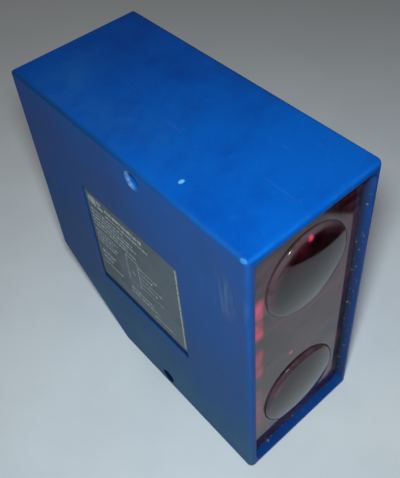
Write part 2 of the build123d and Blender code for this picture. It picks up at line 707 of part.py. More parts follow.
def terminal_block():
    """A moulded row of wire pockets, open downwards, with a screw hole behind each."""
    half_width = POLE_COUNT * POLE_PITCH / 2 + TERMINAL_END_WALL
    corner_chamfer = 2.0
    pocket_half_width = 1.8
    pocket_above_screw = 3.2
    screw_hole_radius = 1.9
    body = block((-half_width, half_width), (CONTROL_REAR_Y, TERMINAL_REAR_Y), TERMINAL_Z)
    long_edges = body.edges().filter_by(Axis.X)
    lower_rear = long_edges.sort_by(lambda edge: edge.center().Y - edge.center().Z)[-1]
    body = chamfer(lower_rear, corner_chamfer)
    pocket_z = (TERMINAL_Z[0], TERMINAL_SCREW_Z + pocket_above_screw)
    hole_length = TERMINAL_REAR_Y - TERMINAL_POCKET_Y[1] + 1
    for x in terminal_xs():
        body -= block((x - pocket_half_width, x + pocket_half_width), TERMINAL_POCKET_Y, pocket_z)
        hole_start = (x, TERMINAL_POCKET_Y[1], TERMINAL_SCREW_Z)
        body -= rod(screw_hole_radius, hole_start, REARWARDS, hole_length)
    return body


def terminal_clamps():
    """One folded metal cage for each wire, open downwards."""
    half_width = 1.7
    half_height = 3.0
    side_wall = 0.5
    end_wall = 0.6
    front, rear = TERMINAL_CLAMP_Y
    z_range = (TERMINAL_SCREW_Z - half_height, TERMINAL_SCREW_Z + half_height)
    inner = half_width - side_wall
    clamps = []
    for x in terminal_xs():
        cage = block((x - half_width, x + half_width), TERMINAL_CLAMP_Y, z_range)
        cage -= block((x - inner, x + inner), (front + end_wall, rear - end_wall), z_range)
        hole_start = (x, rear - end_wall, TERMINAL_SCREW_Z)
        clamps.append(cage - rod(TERMINAL_SCREW_RADIUS + 0.05, hole_start, REARWARDS, end_wall))
    return clamps


def terminal_screws():
    """Slotted clamp screws, one for each pole."""
    head_radius = 1.75
    head_start = 46.2
    head_end = 48.6
    slot_depth = 1.0
    slot_half_width = 0.3
    tip_y = 44.0
    screws = []
    for x in terminal_xs():
        head = rod(head_radius, (x, head_start, TERMINAL_SCREW_Z), REARWARDS, head_end - head_start)
        head -= block(
            (x - head_radius - 0.2, x + head_radius + 0.2),
            (head_end - slot_depth, head_end + 0.4),
            (TERMINAL_SCREW_Z - slot_half_width, TERMINAL_SCREW_Z + slot_half_width),
        )
        shank_start = (x, tip_y, TERMINAL_SCREW_Z)
        screws.append(head + rod(TERMINAL_SCREW_RADIUS, shank_start, REARWARDS, head_start - tip_y))
    return screws


def earth_washer():
    outer_radius = 4.0
    inner_radius = 2.2
    start = (EARTH_SCREW_X, EARTH_SHELF_Y[1], EARTH_SCREW_Z)
    return ring(outer_radius, inner_radius, start, REARWARDS, EARTH_WASHER_THICKNESS)


def earth_screw():
    """A larger pan-head screw that clamps the earth wire to the shelf."""
    seat = (EARTH_SCREW_X, EARTH_SHELF_Y[1] + EARTH_WASHER_THICKNESS, EARTH_SCREW_Z)
    shank_length = 6.5
    shank_radius = EARTH_TAPPED_RADIUS - 0.05
    return screw(
        seat, REARWARDS, shank_length, head_radius=3.4, head_height=2.4, shank_radius=shank_radius
    )


def status_led(x):
    """A small LED on the control board, with a domed end under its light pipe."""
    radius = 1.5
    length = 3.4
    body = rod(radius, (x, CONTROL_REAR_Y, INDICATOR_Z), REARWARDS, length)
    return body + Pos(x, CONTROL_REAR_Y + length, INDICATOR_Z) * Sphere(radius)


def light_pipe(x):
    """A clear rod from a status LED to the outside of the cover, with a stop flange."""
    end_radius = 0.6
    length = COVER_OUTER_Y + INDICATOR_PROUD - INDICATOR_PIPE_START_Y
    pipe = rod(INDICATOR_RADIUS, (x, INDICATOR_PIPE_START_Y, INDICATOR_Z), REARWARDS, length)
    end = pipe.faces().sort_by(Axis.Y)[-1].edges()
    pipe = fillet(end, end_radius)
    flange_start = (x, COVER_INNER_Y - INDICATOR_FLANGE_THICKNESS, INDICATOR_Z)
    return pipe + rod(INDICATOR_FLANGE_RADIUS, flange_start, REARWARDS, INDICATOR_FLANGE_THICKNESS)


def rear_cover():
    """A flush plate with a sunken tray for the knobs, four counterbores and two light holes."""
    thickness = COVER_OUTER_Y - COVER_INNER_Y
    tray_depth = TRAY_FLOOR_Y[1] - TRAY_FLOOR_Y[0]
    head_gap = 0.3
    width = REAR_OPENING[0] - 2 * COVER_CLEARANCE
    height = REAR_OPENING[1] - 2 * COVER_CLEARANCE
    outline = RectangleRounded(width, height, REAR_OPENING_CORNER - COVER_CLEARANCE)
    cover = slab(outline, COVER_INNER_Y, COVER_OUTER_Y, z=REAR_OPENING_MID_Z)
    outer_rim = cover.faces().sort_by(Axis.Y)[-1].edges()
    cover = chamfer(outer_rim, OUTER_RIM_CHAMFER)
    tray_size = [side + 2 * TRAY_WALL for side in TRAY_OPENING]
    tray = RectangleRounded(*tray_size, 3.0)
    cover += slab(tray, TRAY_FLOOR_Y[0], COVER_INNER_Y, z=TRAY_MID_Z)
    well = RectangleRounded(*TRAY_OPENING, 2.0)
    cover -= slab(well, TRAY_FLOOR_Y[1], COVER_OUTER_Y, z=TRAY_MID_Z)
    for x, z in knob_places():
        cover -= rod(KNOB_HOLE_RADIUS, (x, TRAY_FLOOR_Y[0], z), REARWARDS, tray_depth)
    for x, z in cover_screw_places():
        counterbore_start = (x, COVER_OUTER_Y - COVER_SCREW_HEAD_DEPTH, z)
        cover -= rod(M3_CLEARANCE_RADIUS, (x, COVER_INNER_Y, z), REARWARDS, thickness)
        cover -= rod(M3_HEAD_RADIUS + head_gap, counterbore_start, REARWARDS, COVER_SCREW_HEAD_DEPTH)
    for x in (-INDICATOR_X, INDICATOR_X):
        cover -= rod(INDICATOR_RADIUS, (x, COVER_INNER_Y, INDICATOR_Z), REARWARDS, thickness)
    return cover


def rear_cover_seal():
    """A flat gasket as wide as the ledge, with holes for the cover screws."""
    margin = 2 * COVER_CLEARANCE + SEAL_SHORTFALL
    screw_hole = M3_CLEARANCE_RADIUS + 0.1
    outline = RectangleRounded(REAR_OPENING[0] - margin, REAR_OPENING[1] - margin, 3.4)
    seal = slab(outline - rear_ledge_hole(), REAR_LEDGE_Y, COVER_INNER_Y, z=REAR_OPENING_MID_Z)
    for x, z in cover_screw_places():
        seal -= rod(screw_hole, (x, REAR_LEDGE_Y, z), REARWARDS, SEAL_THICKNESS)
    return seal


def rear_cover_screws():
    seat_y = COVER_OUTER_Y - COVER_SCREW_HEAD_DEPTH
    shank_length = seat_y - COVER_SCREW_TIP_Y
    return [screw((x, seat_y, z), REARWARDS, shank_length) for x, z in cover_screw_places()]


def main_board():
    board_x = (MAIN_BOARD_X, MAIN_BOARD_X + BOARD_THICKNESS)
    board = block(board_x, MAIN_BOARD_Y, MAIN_BOARD_Z)
    for y, z in main_screw_places():
        board -= rod(M3_CLEARANCE_RADIUS, (MAIN_BOARD_X, y, z), TO_RIGHT, BOARD_THICKNESS)
    return board


def main_board_screws():
    shank_length = 5.5
    return [screw((MAIN_BOARD_X, y, z), TO_LEFT, shank_length) for y, z in main_screw_places()]


def transformer_window_x():
    """The limits in X of the core's two windows, between its yokes."""
    return (MAIN_BOARD_X - TRANSFORMER_HEIGHT + TRANSFORMER_YOKE, MAIN_BOARD_X - TRANSFORMER_YOKE)


def transformer_core():
    """Stacked E and I plates: an outer frame and a middle limb, with two windows."""
    x_range = (MAIN_BOARD_X - TRANSFORMER_HEIGHT, MAIN_BOARD_X)
    y_range = (TRANSFORMER_Y - TRANSFORMER_HALF_DEPTH, TRANSFORMER_Y + TRANSFORMER_HALF_DEPTH)
    z_range = (TRANSFORMER_Z - TRANSFORMER_HALF_LENGTH, TRANSFORMER_Z + TRANSFORMER_HALF_LENGTH)
    core = block(x_range, y_range, z_range)
    window_end = TRANSFORMER_HALF_LENGTH - TRANSFORMER_YOKE
    for side in (-1, 1):
        limits = (TRANSFORMER_Z + side * TRANSFORMER_LIMB_HALF, TRANSFORMER_Z + side * window_end)
        core -= block(transformer_window_x(), y_range, sorted(limits))
    return core


def transformer_winding():
    """The coil around the core's middle limb, bulging out of both sides."""
    bulge = 4.0
    bend_radius = 3.0
    window_gap = 0.1
    window_x = transformer_window_x()
    coil_half_depth = TRANSFORMER_HALF_DEPTH + bulge
    coil_half_length = TRANSFORMER_HALF_LENGTH - TRANSFORMER_YOKE
    y_range = (TRANSFORMER_Y - coil_half_depth, TRANSFORMER_Y + coil_half_depth)
    coil = block(window_x, y_range, (TRANSFORMER_Z - coil_half_length, TRANSFORMER_Z + coil_half_length))
    coil = fillet(coil.edges().filter_by(Axis.X), bend_radius)
    limb_y = (TRANSFORMER_Y - TRANSFORMER_HALF_DEPTH, TRANSFORMER_Y + TRANSFORMER_HALF_DEPTH)
    limb_z = (TRANSFORMER_Z - TRANSFORMER_LIMB_HALF, TRANSFORMER_Z + TRANSFORMER_LIMB_HALF)
    coil -= block(window_x, limb_y, limb_z)
    trimmed = coil_half_length - window_gap
    for side in (-1, 1):
        limits = (TRANSFORMER_Z + side * trimmed, TRANSFORMER_Z + side * TRANSFORMER_HALF_LENGTH)
        coil -= block(window_x, y_range, sorted(limits))
    return coil


def output_relay():
    edge_radius = 0.8
    body = block((MAIN_BOARD_X - RELAY_HEIGHT, MAIN_BOARD_X), RELAY_Y, RELAY_Z)
    upright = body.edges().filter_by(Axis.X)
    return fillet(upright, edge_radius)


def filter_capacitor():
    end_radius = 1.0
    can = rod(CAPACITOR_RADIUS, (MAIN_BOARD_X, *CAPACITOR_PLACE), TO_LEFT, CAPACITOR_LENGTH)
    end = can.faces().sort_by(Axis.X)[0].edges()
    return fillet(end, end_radius)


def header_range(middle, width):
    return (middle - width / 2, middle + width / 2)


def board_connectors():
    """Flat cable headers: two on the light boards, three on the main board, one on the control board."""
    light_back = LIGHT_BOARD_Y + BOARD_THICKNESS
    ribbon_x = header_range(RIBBON_X, HEADER_THICKNESS)
    main_x = (MAIN_BOARD_X - HEADER_DEPTH, MAIN_BOARD_X)
    headers = []
    for middle in (EMITTER_HEADER_Z, RECEIVER_HEADER_Z):
        z_range = header_range(middle, HEADER_WIDTH)
        headers.append(block(ribbon_x, (light_back, light_back + LIGHT_HEADER_DEPTH), z_range))
        headers.append(block(main_x, header_range(FORWARD_RIBBON_Y, HEADER_THICKNESS), z_range))
    z_range = header_range(EMITTER_HEADER_Z, HEADER_WIDTH)
    headers.append(block(main_x, header_range(REAR_RIBBON_Y, HEADER_THICKNESS), z_range))
    headers.append(block(ribbon_x, (CONTROL_BOARD_Y - HEADER_DEPTH, CONTROL_BOARD_Y), z_range))
    return headers


def ribbon(points, z):
    """A flat cable that follows points in X and Y, standing on edge at height z."""
    edge_margin = 0.5
    path = FilletPolyline(*points, radius=RIBBON_BEND)
    strip = trace(path, RIBBON_THICKNESS)
    return Pos(0, 0, z) * extrude(strip, HEADER_WIDTH / 2 - edge_margin, both=True)


def ribbon_cables():
    light_end = LIGHT_BOARD_Y + BOARD_THICKNESS + LIGHT_HEADER_DEPTH
    main_end = MAIN_BOARD_X - HEADER_DEPTH
    control_end = CONTROL_BOARD_Y - HEADER_DEPTH
    forward_route = [(RIBBON_X, light_end), (RIBBON_X, FORWARD_RIBBON_Y), (main_end, FORWARD_RIBBON_Y)]
    rear_route = [(main_end, REAR_RIBBON_Y), (RIBBON_X, REAR_RIBBON_Y), (RIBBON_X, control_end)]
    cables = [ribbon(forward_route, z) for z in (EMITTER_HEADER_Z, RECEIVER_HEADER_Z)]
    return cables + [ribbon(rear_route, EMITTER_HEADER_Z)]


def gland_body():
    shank_length = GLAND_COLLAR[0] - GLAND_INNER_END
    body = rod(GLAND_SHANK_RADIUS, gland_point(GLAND_INNER_END), CHAMFER_NORMAL, shank_length)
    collar_length = GLAND_COLLAR[1] - GLAND_COLLAR[0]
    body += hexagon(GLAND_HEX_FLATS, gland_point(GLAND_COLLAR[0]), CHAMFER_NORMAL, collar_length)
    neck_length = GLAND_OUTER_END - GLAND_COLLAR[1]
    body += rod(GLAND_THREAD_RADIUS, gland_point(GLAND_COLLAR[1]), CHAMFER_NORMAL, neck_length)
    full_length = GLAND_OUTER_END - GLAND_INNER_END
    return body - rod(GLAND_BORE_RADIUS, gland_point(GLAND_INNER_END), CHAMFER_NORMAL, full_length)


def gland_washer():
    outer_radius = 10.2
    inner_radius = GLAND_SHANK_RADIUS + 0.2
    return ring(outer_radius, inner_radius, gland_point(0), CHAMFER_NORMAL, GLAND_COLLAR[0])


def gland_locknut():
    thread_gap = 0.05
    start = gland_point(-WALL - LOCKNUT_THICKNESS)
    nut = hexagon(LOCKNUT_FLATS, start, CHAMFER_NORMAL, LOCKNUT_THICKNESS)
    return nut - rod(GLAND_SHANK_RADIUS + thread_gap, start, CHAMFER_NORMAL, LOCKNUT_THICKNESS)


def gland_cable_seal():
    length = CABLE_SEAL[1] - CABLE_SEAL[0]
    outer_gap = 0.05
    outer = GLAND_BORE_RADIUS - outer_gap
    return ring(outer, CABLE_RADIUS, gland_point(CABLE_SEAL[0]), CHAMFER_NORMAL, length)


def gland_nut():
    hex_length = GLAND_NUT_HEX_END - GLAND_NUT_START
    nut = hexagon(GLAND_HEX_FLATS, gland_point(GLAND_NUT_START), CHAMFER_NORMAL, hex_length)
    dome_length = GLAND_NUT_END - GLAND_NUT_HEX_END
    nut += frustum(*GLAND_NUT_DOME_RADII, gland_point(GLAND_NUT_HEX_END), CHAMFER_NORMAL, dome_length)
    bore = GLAND_THREAD_RADIUS + GLAND_NUT_FIT
    bore_length = GLAND_NUT_SHOULDER - GLAND_NUT_START
    nut -= rod(bore, gland_point(GLAND_NUT_START), CHAMFER_NORMAL, bore_length)
    mouth_length = GLAND_NUT_END - GLAND_NUT_START
    return nut - rod(GLAND_NUT_MOUTH_RADIUS, gland_point(GLAND_NUT_START), CHAMFER_NORMAL, mouth_length)


LOWER_KNOBS, UPPER_KNOBS = KNOB_HEIGHTS

NODES = {
    "housing": housing(),
    "rating_label": rating_label(),
    "front_lens_panel": front_lens_panel(),
    "front_panel_seal": front_panel_seal(),
    "optics_frame": optics_frame(),
    "optics_screws": optics_screws(),
    "emitter_polarising_filter": polarising_filter(EMITTER_Z),
    "receiver_polarising_filter": polarising_filter(RECEIVER_Z),
    "emitter_board": light_board(EMITTER_Z),
    "receiver_board": light_board(RECEIVER_Z),
    "light_board_screws": light_board_screws(),
    "emitter_led": emitter_led(),
    "receiver_photodiode": receiver_photodiode(),
    "main_board": main_board(),
    "main_board_screws": main_board_screws(),
    "transformer_core": transformer_core(),
    "transformer_winding": transformer_winding(),
    "output_relay": output_relay(),
    "filter_capacitor": filter_capacitor(),
    "board_connectors": board_connectors(),
    "ribbon_cables": ribbon_cables(),
    "control_board": control_board(),
    "control_board_screws": control_board_screws(),
    "potentiometers": control_bodies(
        [(-KNOB_X, UPPER_KNOBS), (-KNOB_X, LOWER_KNOBS), (KNOB_X, LOWER_KNOBS)]
    ),
    "selector_switch": control_bodies([(KNOB_X, UPPER_KNOBS)]),
    "power_led": status_led(-INDICATOR_X),
    "signal_led": status_led(INDICATOR_X),
    "terminal_block": terminal_block(),
    "terminal_clamps": terminal_clamps(),
    "terminal_screws": terminal_screws(),
    "earth_washer": earth_washer(),
    "earth_screw": earth_screw(),
    "rear_cover": rear_cover(),
    "rear_cover_seal": rear_cover_seal(),
    "rear_cover_screws": rear_cover_screws(),
    "power_light_pipe": light_pipe(-INDICATOR_X),
    "signal_light_pipe": light_pipe(INDICATOR_X),
    "sensitivity_knob": slotted_knob(-KNOB_X, UPPER_KNOBS),
    "light_dark_selector": selector_knob(KNOB_X, UPPER_KNOBS),
    "on_delay_knob": slotted_knob(-KNOB_X, LOWER_KNOBS),
    "off_delay_knob": slotted_knob(KNOB_X, LOWER_KNOBS),
    "gland_body": gland_body(),
    "gland_washer": gland_washer(),
    "gland_locknut": gland_locknut(),
    "gland_cable_seal": gland_cable_seal(),
    "gland_nut": gland_nut(),
}

os.makedirs("parts", exist_ok=True)
for name, shape in NODES.items():
    if isinstance(shape, list):
        shape = Compound(children=shape)
    export_step(shape, f"parts/{name}.step")
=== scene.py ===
import json
import math
import random

import bpy
from mathutils import Euler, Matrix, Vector


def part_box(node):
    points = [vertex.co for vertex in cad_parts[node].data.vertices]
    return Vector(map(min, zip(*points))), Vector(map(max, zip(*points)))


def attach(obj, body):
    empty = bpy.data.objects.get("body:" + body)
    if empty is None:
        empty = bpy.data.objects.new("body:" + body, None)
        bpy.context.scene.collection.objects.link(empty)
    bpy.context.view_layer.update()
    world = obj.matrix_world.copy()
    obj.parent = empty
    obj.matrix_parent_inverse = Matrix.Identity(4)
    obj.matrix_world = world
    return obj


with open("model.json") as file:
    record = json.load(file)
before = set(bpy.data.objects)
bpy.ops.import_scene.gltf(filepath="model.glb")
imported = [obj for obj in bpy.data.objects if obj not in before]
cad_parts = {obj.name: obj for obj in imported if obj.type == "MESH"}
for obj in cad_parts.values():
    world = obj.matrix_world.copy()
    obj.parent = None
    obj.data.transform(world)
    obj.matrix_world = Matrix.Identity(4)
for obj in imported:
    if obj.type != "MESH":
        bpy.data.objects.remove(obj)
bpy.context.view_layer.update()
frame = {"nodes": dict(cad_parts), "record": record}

# Photoelectric sensor: materials, print and studio around the imported model.
# Everything is in metres, in the model's frame: -Y is the lens side, +Z is up.

MM = 0.001
NODES = frame["nodes"]
LOWEST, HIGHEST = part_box("housing")
FRONT_Y = LOWEST.y
REAR_Y = HIGHEST.y
LEFT_X = LOWEST.x
RIGHT_X = HIGHEST.x
TOP_Z = HIGHEST.z
MIDDLE_Z = (LOWEST.z + HIGHEST.z) / 2

# Places on the part that the materials follow
FIXING_HOLE_Y = -10.0 * MM
FIXING_HOLE_INSET = 5.5 * MM
MOUTH_HALF_WIDTH = 24.45 * MM
MOUTH_HALF_HEIGHT = 59.95 * MM
PANEL_FACE_Y = FRONT_Y + 3.0 * MM
LENS_OFFSET = 33.8 * MM
LENS_RADIUS = 17.0 * MM
TRAY_FLOOR_Y = 53.6 * MM
KNOB_TURN = 270
KNOB_STEPS = 10
CHIP_PLACE = Vector((-19.8, -25.0, 125.0)) * MM
CORNER_HIGHLIGHT_PLACE = Vector((-26.4, -57.0, 124.3)) * MM
SCUFF_PLACE = Vector((-27.0, -49.0, 102.0)) * MM
INK_THICKNESS = 0.03 * MM
INK_OVERLAP = 0.005 * MM


# ---------------------------------------------------------------- material building

class Look:
    """A Principled material, with short calls for the nodes that feed it."""

    def __init__(self, name, sockets):
        self.material = bpy.data.materials.new(name)
        self.material.use_nodes = True
        self.tree = self.material.node_tree
        self.shader = self.tree.nodes["Principled BSDF"]
        for socket, value in sockets.items():
            self.shader.inputs[socket].default_value = value
        coordinates = self.tree.nodes.new("ShaderNodeTexCoord")
        self.place = coordinates.outputs["Object"]

    def node(self, kind, inputs=None, **settings):
        made = self.tree.nodes.new(kind)
        for key, value in settings.items():
            setattr(made, key, value)
        for key, value in (inputs or {}).items():
            self.feed(made.inputs[key], value)
        return made

    def feed(self, socket, value):
        """Links an output to a socket, or sets a plain value on it."""
        if isinstance(value, bpy.types.NodeSocket):
            self.tree.links.new(value, socket)
        else:
            socket.default_value = value

    def drive(self, socket, value):
        self.feed(self.shader.inputs[socket], value)

    def math(self, operation, first, second=0.0, clamp=False):
        inputs = {0: first, 1: second}
        return self.node("ShaderNodeMath", inputs, operation=operation, use_clamp=clamp).outputs[0]

    def product(self, first, *others):
        for other in others:
            first = self.math("MULTIPLY", first, other)
        return first

    def length(self, across, upwards):
        """Length of a flat vector from its two coordinates."""
        squares = self.math("ADD", self.product(across, across), self.product(upwards, upwards))
        return self.math("SQRT", squares)

    def noise(self, scale, detail=3.0, roughness=0.5, stretch=(1, 1, 1), turn=(0, 0, 0), shift=(0, 0, 0)):
        """Fractal noise from 0 to 1 in the part's own space. scale is in features per metre."""
        mapped = self.node(
            "ShaderNodeMapping",
            {"Vector": self.place, "Scale": stretch, "Rotation": turn, "Location": shift},
        )
        inputs = {"Vector": mapped.outputs[0], "Scale": scale, "Detail": detail, "Roughness": roughness}
        return self.node("ShaderNodeTexNoise", inputs).outputs["Fac"]

    def ramp(self, value, low, high, from_value=0.0, to_value=1.0):
        """Maps low..high to from_value..to_value, held at both ends."""
        inputs = {"Value": value, "From Min": low, "From Max": high, "To Min": from_value, "To Max": to_value}
        made = self.node("ShaderNodeMapRange", inputs, interpolation_type="SMOOTHSTEP")
        return made.outputs["Result"]

    def mix(self, amount, first, second):
        """Blends two colours by amount."""
        made = self.node("ShaderNodeMix", data_type="RGBA")
        colours = [s for s in made.inputs if s.type == "RGBA"]
        self.feed(made.inputs["Factor"], amount)
        self.feed(colours[0], first)
        self.feed(colours[1], second)
        return [s for s in made.outputs if s.type == "RGBA"][0]

    def distance(self, place):
        """Distance from a point of the part."""
        made = self.node("ShaderNodeVectorMath", {0: self.place, 1: place}, operation="DISTANCE")
        return made.outputs["Value"]

    def axis(self, name):
        """One coordinate of the place on the part."""
        return self.node("ShaderNodeSeparateXYZ", {0: self.place}).outputs[name]

    def bump(self, height, strength, distance):
        made = self.node("ShaderNodeBump", {"Height": height, "Strength": strength, "Distance": distance})
        self.drive("Normal", made.outputs["Normal"])


def rgb(red, green, blue):
    return (red, green, blue, 1.0)


def worn_paint():
    """Satin blue paint on a casting: orange peel, dust (on the label side also a painted floor reflection),
    fine scratches and one chip; painted shade at the rear, in the front mouth, the label pocket and the lower
    fixing hole; painted highlights on the front edges, the upper hole's rim and the front top corner; darker
    long edges towards the rear.
    """
    look = Look("housing_paint", {"IOR": 1.5, "Specular IOR Level": 0.20})
    fresh = rgb(0.0003, 0.066, 0.305)
    deep = rgb(0.0003, 0.036, 0.205)
    mottle = look.noise(26, 4, 0.6)
    # Painted shade: the paint gets darker towards the rear, where less key light falls.
    painted_rear_shade = look.ramp(look.axis("Y"), -40 * MM, 59 * MM, 0.0, 0.70)
    amount = look.math("SUBTRACT", look.ramp(mottle, 0.26, 0.62), painted_rear_shade, clamp=True)
    colour = look.mix(amount, deep, fresh)
    # Dust, and on the label side a painted reflection of the pale floor.
    dust_and_sheen = dust_and_side_sheen(look)
    low_down = look.ramp(look.axis("Z"), 10 * MM, 80 * MM, 1.0, 0.0)
    dust_colour = look.mix(low_down, rgb(0.036, 0.150, 0.228), rgb(0.080, 0.170, 0.255))
    colour = look.mix(dust_and_sheen, colour, dust_colour)
    scratches = scratch_marks(look)
    colour = look.mix(scratches, colour, rgb(0.14, 0.22, 0.30))
    front_edge_highlight, grime_and_darkening = edge_highlight_and_darkening(look)
    # Painted highlight: paler blue along the edges round the front face.
    colour = look.mix(front_edge_highlight, colour, rgb(0.006, 0.125, 0.43))
    # Darker long edges, more so towards the rear.
    colour = look.mix(grime_and_darkening, colour, rgb(0.002, 0.034, 0.110))
    # Painted highlight on the upper fixing hole's countersink.
    colour = look.mix(hole_rim_highlight(look), colour, rgb(0.13, 0.25, 0.40))
    # Painted shade in the label pocket.
    colour = look.mix(pocket_shade(look), colour, rgb(0.003, 0.022, 0.085))
    # Painted shade inside the front mouth.
    mouth_shade = recess_shade(look)
    colour = look.mix(mouth_shade, colour, rgb(0.010, 0.016, 0.040))
    specks = look.ramp(look.noise(1300, 2, 0.6, shift=(5, 2, 1)), 0.70, 0.75, 0.0, 0.55)
    specks = look.product(specks, look.ramp(mouth_shade, 0.1, 0.5, 0.20, 1.0))
    flakes = look.ramp(look.noise(700, 2, 0.6, shift=(2, 3, 8)), 0.65, 0.69, 0.0, 0.60)
    specks = look.math("MAXIMUM", specks, look.product(flakes, look.ramp(mouth_shade, 0.25, 0.6)))
    colour = look.mix(specks, colour, rgb(0.30, 0.27, 0.17))
    # Painted shade inside the lower fixing hole.
    colour = look.mix(lower_bore_shade(look), colour, rgb(0.0008, 0.006, 0.024))
    chip = spot(look, CHIP_PLACE, 0.80 * MM, (0.7, 1.1, 1.0), 0.55)
    colour = look.mix(look.product(chip, 0.85), colour, rgb(0.13, 0.32, 0.47))
    # Painted highlight: a pale blue spot at the front top corner.
    corner = spot(look, CORNER_HIGHLIGHT_PLACE, 0.75 * MM, (1.0, 0.6, 1.0), 0.5)
    colour = look.mix(look.product(corner, 0.34), colour, rgb(0.08, 0.28, 0.58))
    look.drive("Base Color", colour)
    gloss = look.ramp(mottle, 0.3, 0.7, 0.40, 0.50)
    look.drive("Roughness", look.math("ADD", gloss, look.product(dust_and_sheen, 0.6), clamp=True))
    peel = look.noise(620, 2, 0.5)
    height = look.math("SUBTRACT", peel, look.product(scratches, 0.8))
    look.bump(height, 0.20, 0.00010)
    return look.material


def dust_and_side_sheen(look):
    """Grey dust: thick on the label side, where it also stands in for a painted reflection of the pale floor;
    thin in soft patches on the top, hardly any elsewhere.
    """
    # On the label side the grey is dust and a painted reflection of the pale floor.
    left = look.ramp(look.axis("X"), LEFT_X + 0.2 * MM, LEFT_X + 2.2 * MM, 1.0, 0.0)
    patches = look.ramp(look.noise(20, 5, 0.68, shift=(3, 1, 2)), 0.36, 0.74)
    settled = look.ramp(look.axis("Z"), 10 * MM, 105 * MM, 1.0, 0.28)
    side = look.product(left, look.ramp(patches, 0.0, 1.0, 0.34, 0.80), settled)
    rear = look.ramp(look.axis("Y"), -34 * MM, 14 * MM, 0.04, 1.0)
    near_label = look.ramp(look.axis("X"), -20 * MM, 14 * MM, 1.0, 0.10)
    above = look.product(rear, near_label, 0.20)
    wisps = look.ramp(look.noise(46, 6, 0.72, shift=(1, 5, 2)), 0.40, 0.72)
    thin = look.product(look.math("MAXIMUM", patches, wisps), above)
    grit = look.ramp(look.noise(1000, 2, 0.6), 0.70, 0.76, 0.0, 0.20)
    return look.math("MAXIMUM", look.math("MAXIMUM", side, thin), grit)


def recess_shade(look):
    """Painted shade inside the front mouth, darkest against the lens panel."""
    across = look.math("SUBTRACT", MOUTH_HALF_WIDTH, look.math("ABSOLUTE", look.axis("X")))
    offset = look.math("ABSOLUTE", look.math("SUBTRACT", look.axis("Z"), MIDDLE_Z))
    upwards = look.math("SUBTRACT", MOUTH_HALF_HEIGHT, offset)
    inside = look.ramp(look.math("MINIMUM", across, upwards), -0.15 * MM, 0.25 * MM)
    depth = look.ramp(look.axis("Y"), FRONT_Y + 0.3 * MM, FRONT_Y + 2.9 * MM, 0.45, 0.97)
    front_only = look.ramp(look.axis("Y"), FRONT_Y + 6 * MM, FRONT_Y + 8 * MM, 1.0, 0.0)
    sill = look.ramp(look.axis("Z"), 4 * MM, 14 * MM, 0.55, 1.0)
    return look.product(inside, depth, front_only, sill)


def hole_rim_highlight(look):
    """Painted highlight: a pale band on the rear side of the upper fixing hole's countersink, broken by
    noise.
    """
    away = hole_distance(look, TOP_Z - FIXING_HOLE_INSET)
    rim = look.product(look.ramp(away, 2.6 * MM, 2.8 * MM), look.ramp(away, 3.5 * MM, 3.8 * MM, 1.0, 0.0))
    outside = look.ramp(look.math("ABSOLUTE", look.axis("X")), 25.8 * MM, 26.2 * MM)
    behind = look.math("SUBTRACT", look.axis("Y"), FIXING_HOLE_Y)
    rearwards = look.ramp(behind, -1.5 * MM, 2.5 * MM, 0.15, 1.0)
    broken = look.ramp(look.noise(260, 4, 0.65), 0.34, 0.56, 0.10, 0.9)
    return look.product(rim, outside, rearwards, broken)


def hole_distance(look, height):
    """Distance from the axis of a fixing hole at the given height."""
    across = look.math("SUBTRACT", look.axis("Y"), FIXING_HOLE_Y)
    upwards = look.math("SUBTRACT", look.axis("Z"), height)
    return look.length(across, upwards)


def lower_bore_shade(look):
    """Painted shade in the lower fixing hole, which lies near the table."""
    away = hole_distance(look, FIXING_HOLE_INSET)
    return look.ramp(away, 3.1 * MM, 3.5 * MM, 0.95, 0.0)


def pocket_shade(look):
    """Painted shade on the floor of the label's pocket, round the label and in a band below it."""
    low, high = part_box("rating_label")
    inner = look.ramp(look.axis("X"), LEFT_X + 0.1 * MM, LEFT_X + 0.5 * MM)
    shallow = look.ramp(look.axis("X"), LEFT_X + 1.0 * MM, LEFT_X + 1.2 * MM, 1.0, 0.0)
    amount = look.product(inner, shallow)
    for name, start, end in (
        ("Y", low.y - 1 * MM, high.y + 1 * MM),
        ("Z", low.z - 4.2 * MM, high.z + 1 * MM),
    ):
        after = look.math("GREATER_THAN", look.axis(name), start)
        before = look.math("LESS_THAN", look.axis(name), end)
        amount = look.product(amount, after, before)
    return look.product(amount, 0.8)


def scratch_marks(look):
    """Thin pale marks: noise drawn out long in three directions and cut off high."""
    marks = None
    for turn, stretch, cut in (
        ((0.5, 0.2, 0.3), (46, 3.0, 120), 0.715),
        ((-0.7, 0.1, 0.9), (120, 2.6, 50), 0.72),
        ((1.1, -0.4, 0.2), (60, 110, 3.2), 0.715),
    ):
        layer = look.ramp(look.noise(9, 2, 0.5, stretch, turn), cut, cut + 0.04, 0.0, 0.03)
        marks = layer if marks is None else look.math("MAXIMUM", marks, layer)
    zone = look.ramp(look.distance(SCUFF_PLACE), 5 * MM, 13 * MM, 1.0, 0.0)
    strokes = look.ramp(look.noise(16, 3, 0.6, (1, 30, 2.2), (0.35, 0, 0)), 0.50, 0.66, 0.0, 0.30)
    return look.math("MAXIMUM", marks, look.product(zone, strokes))


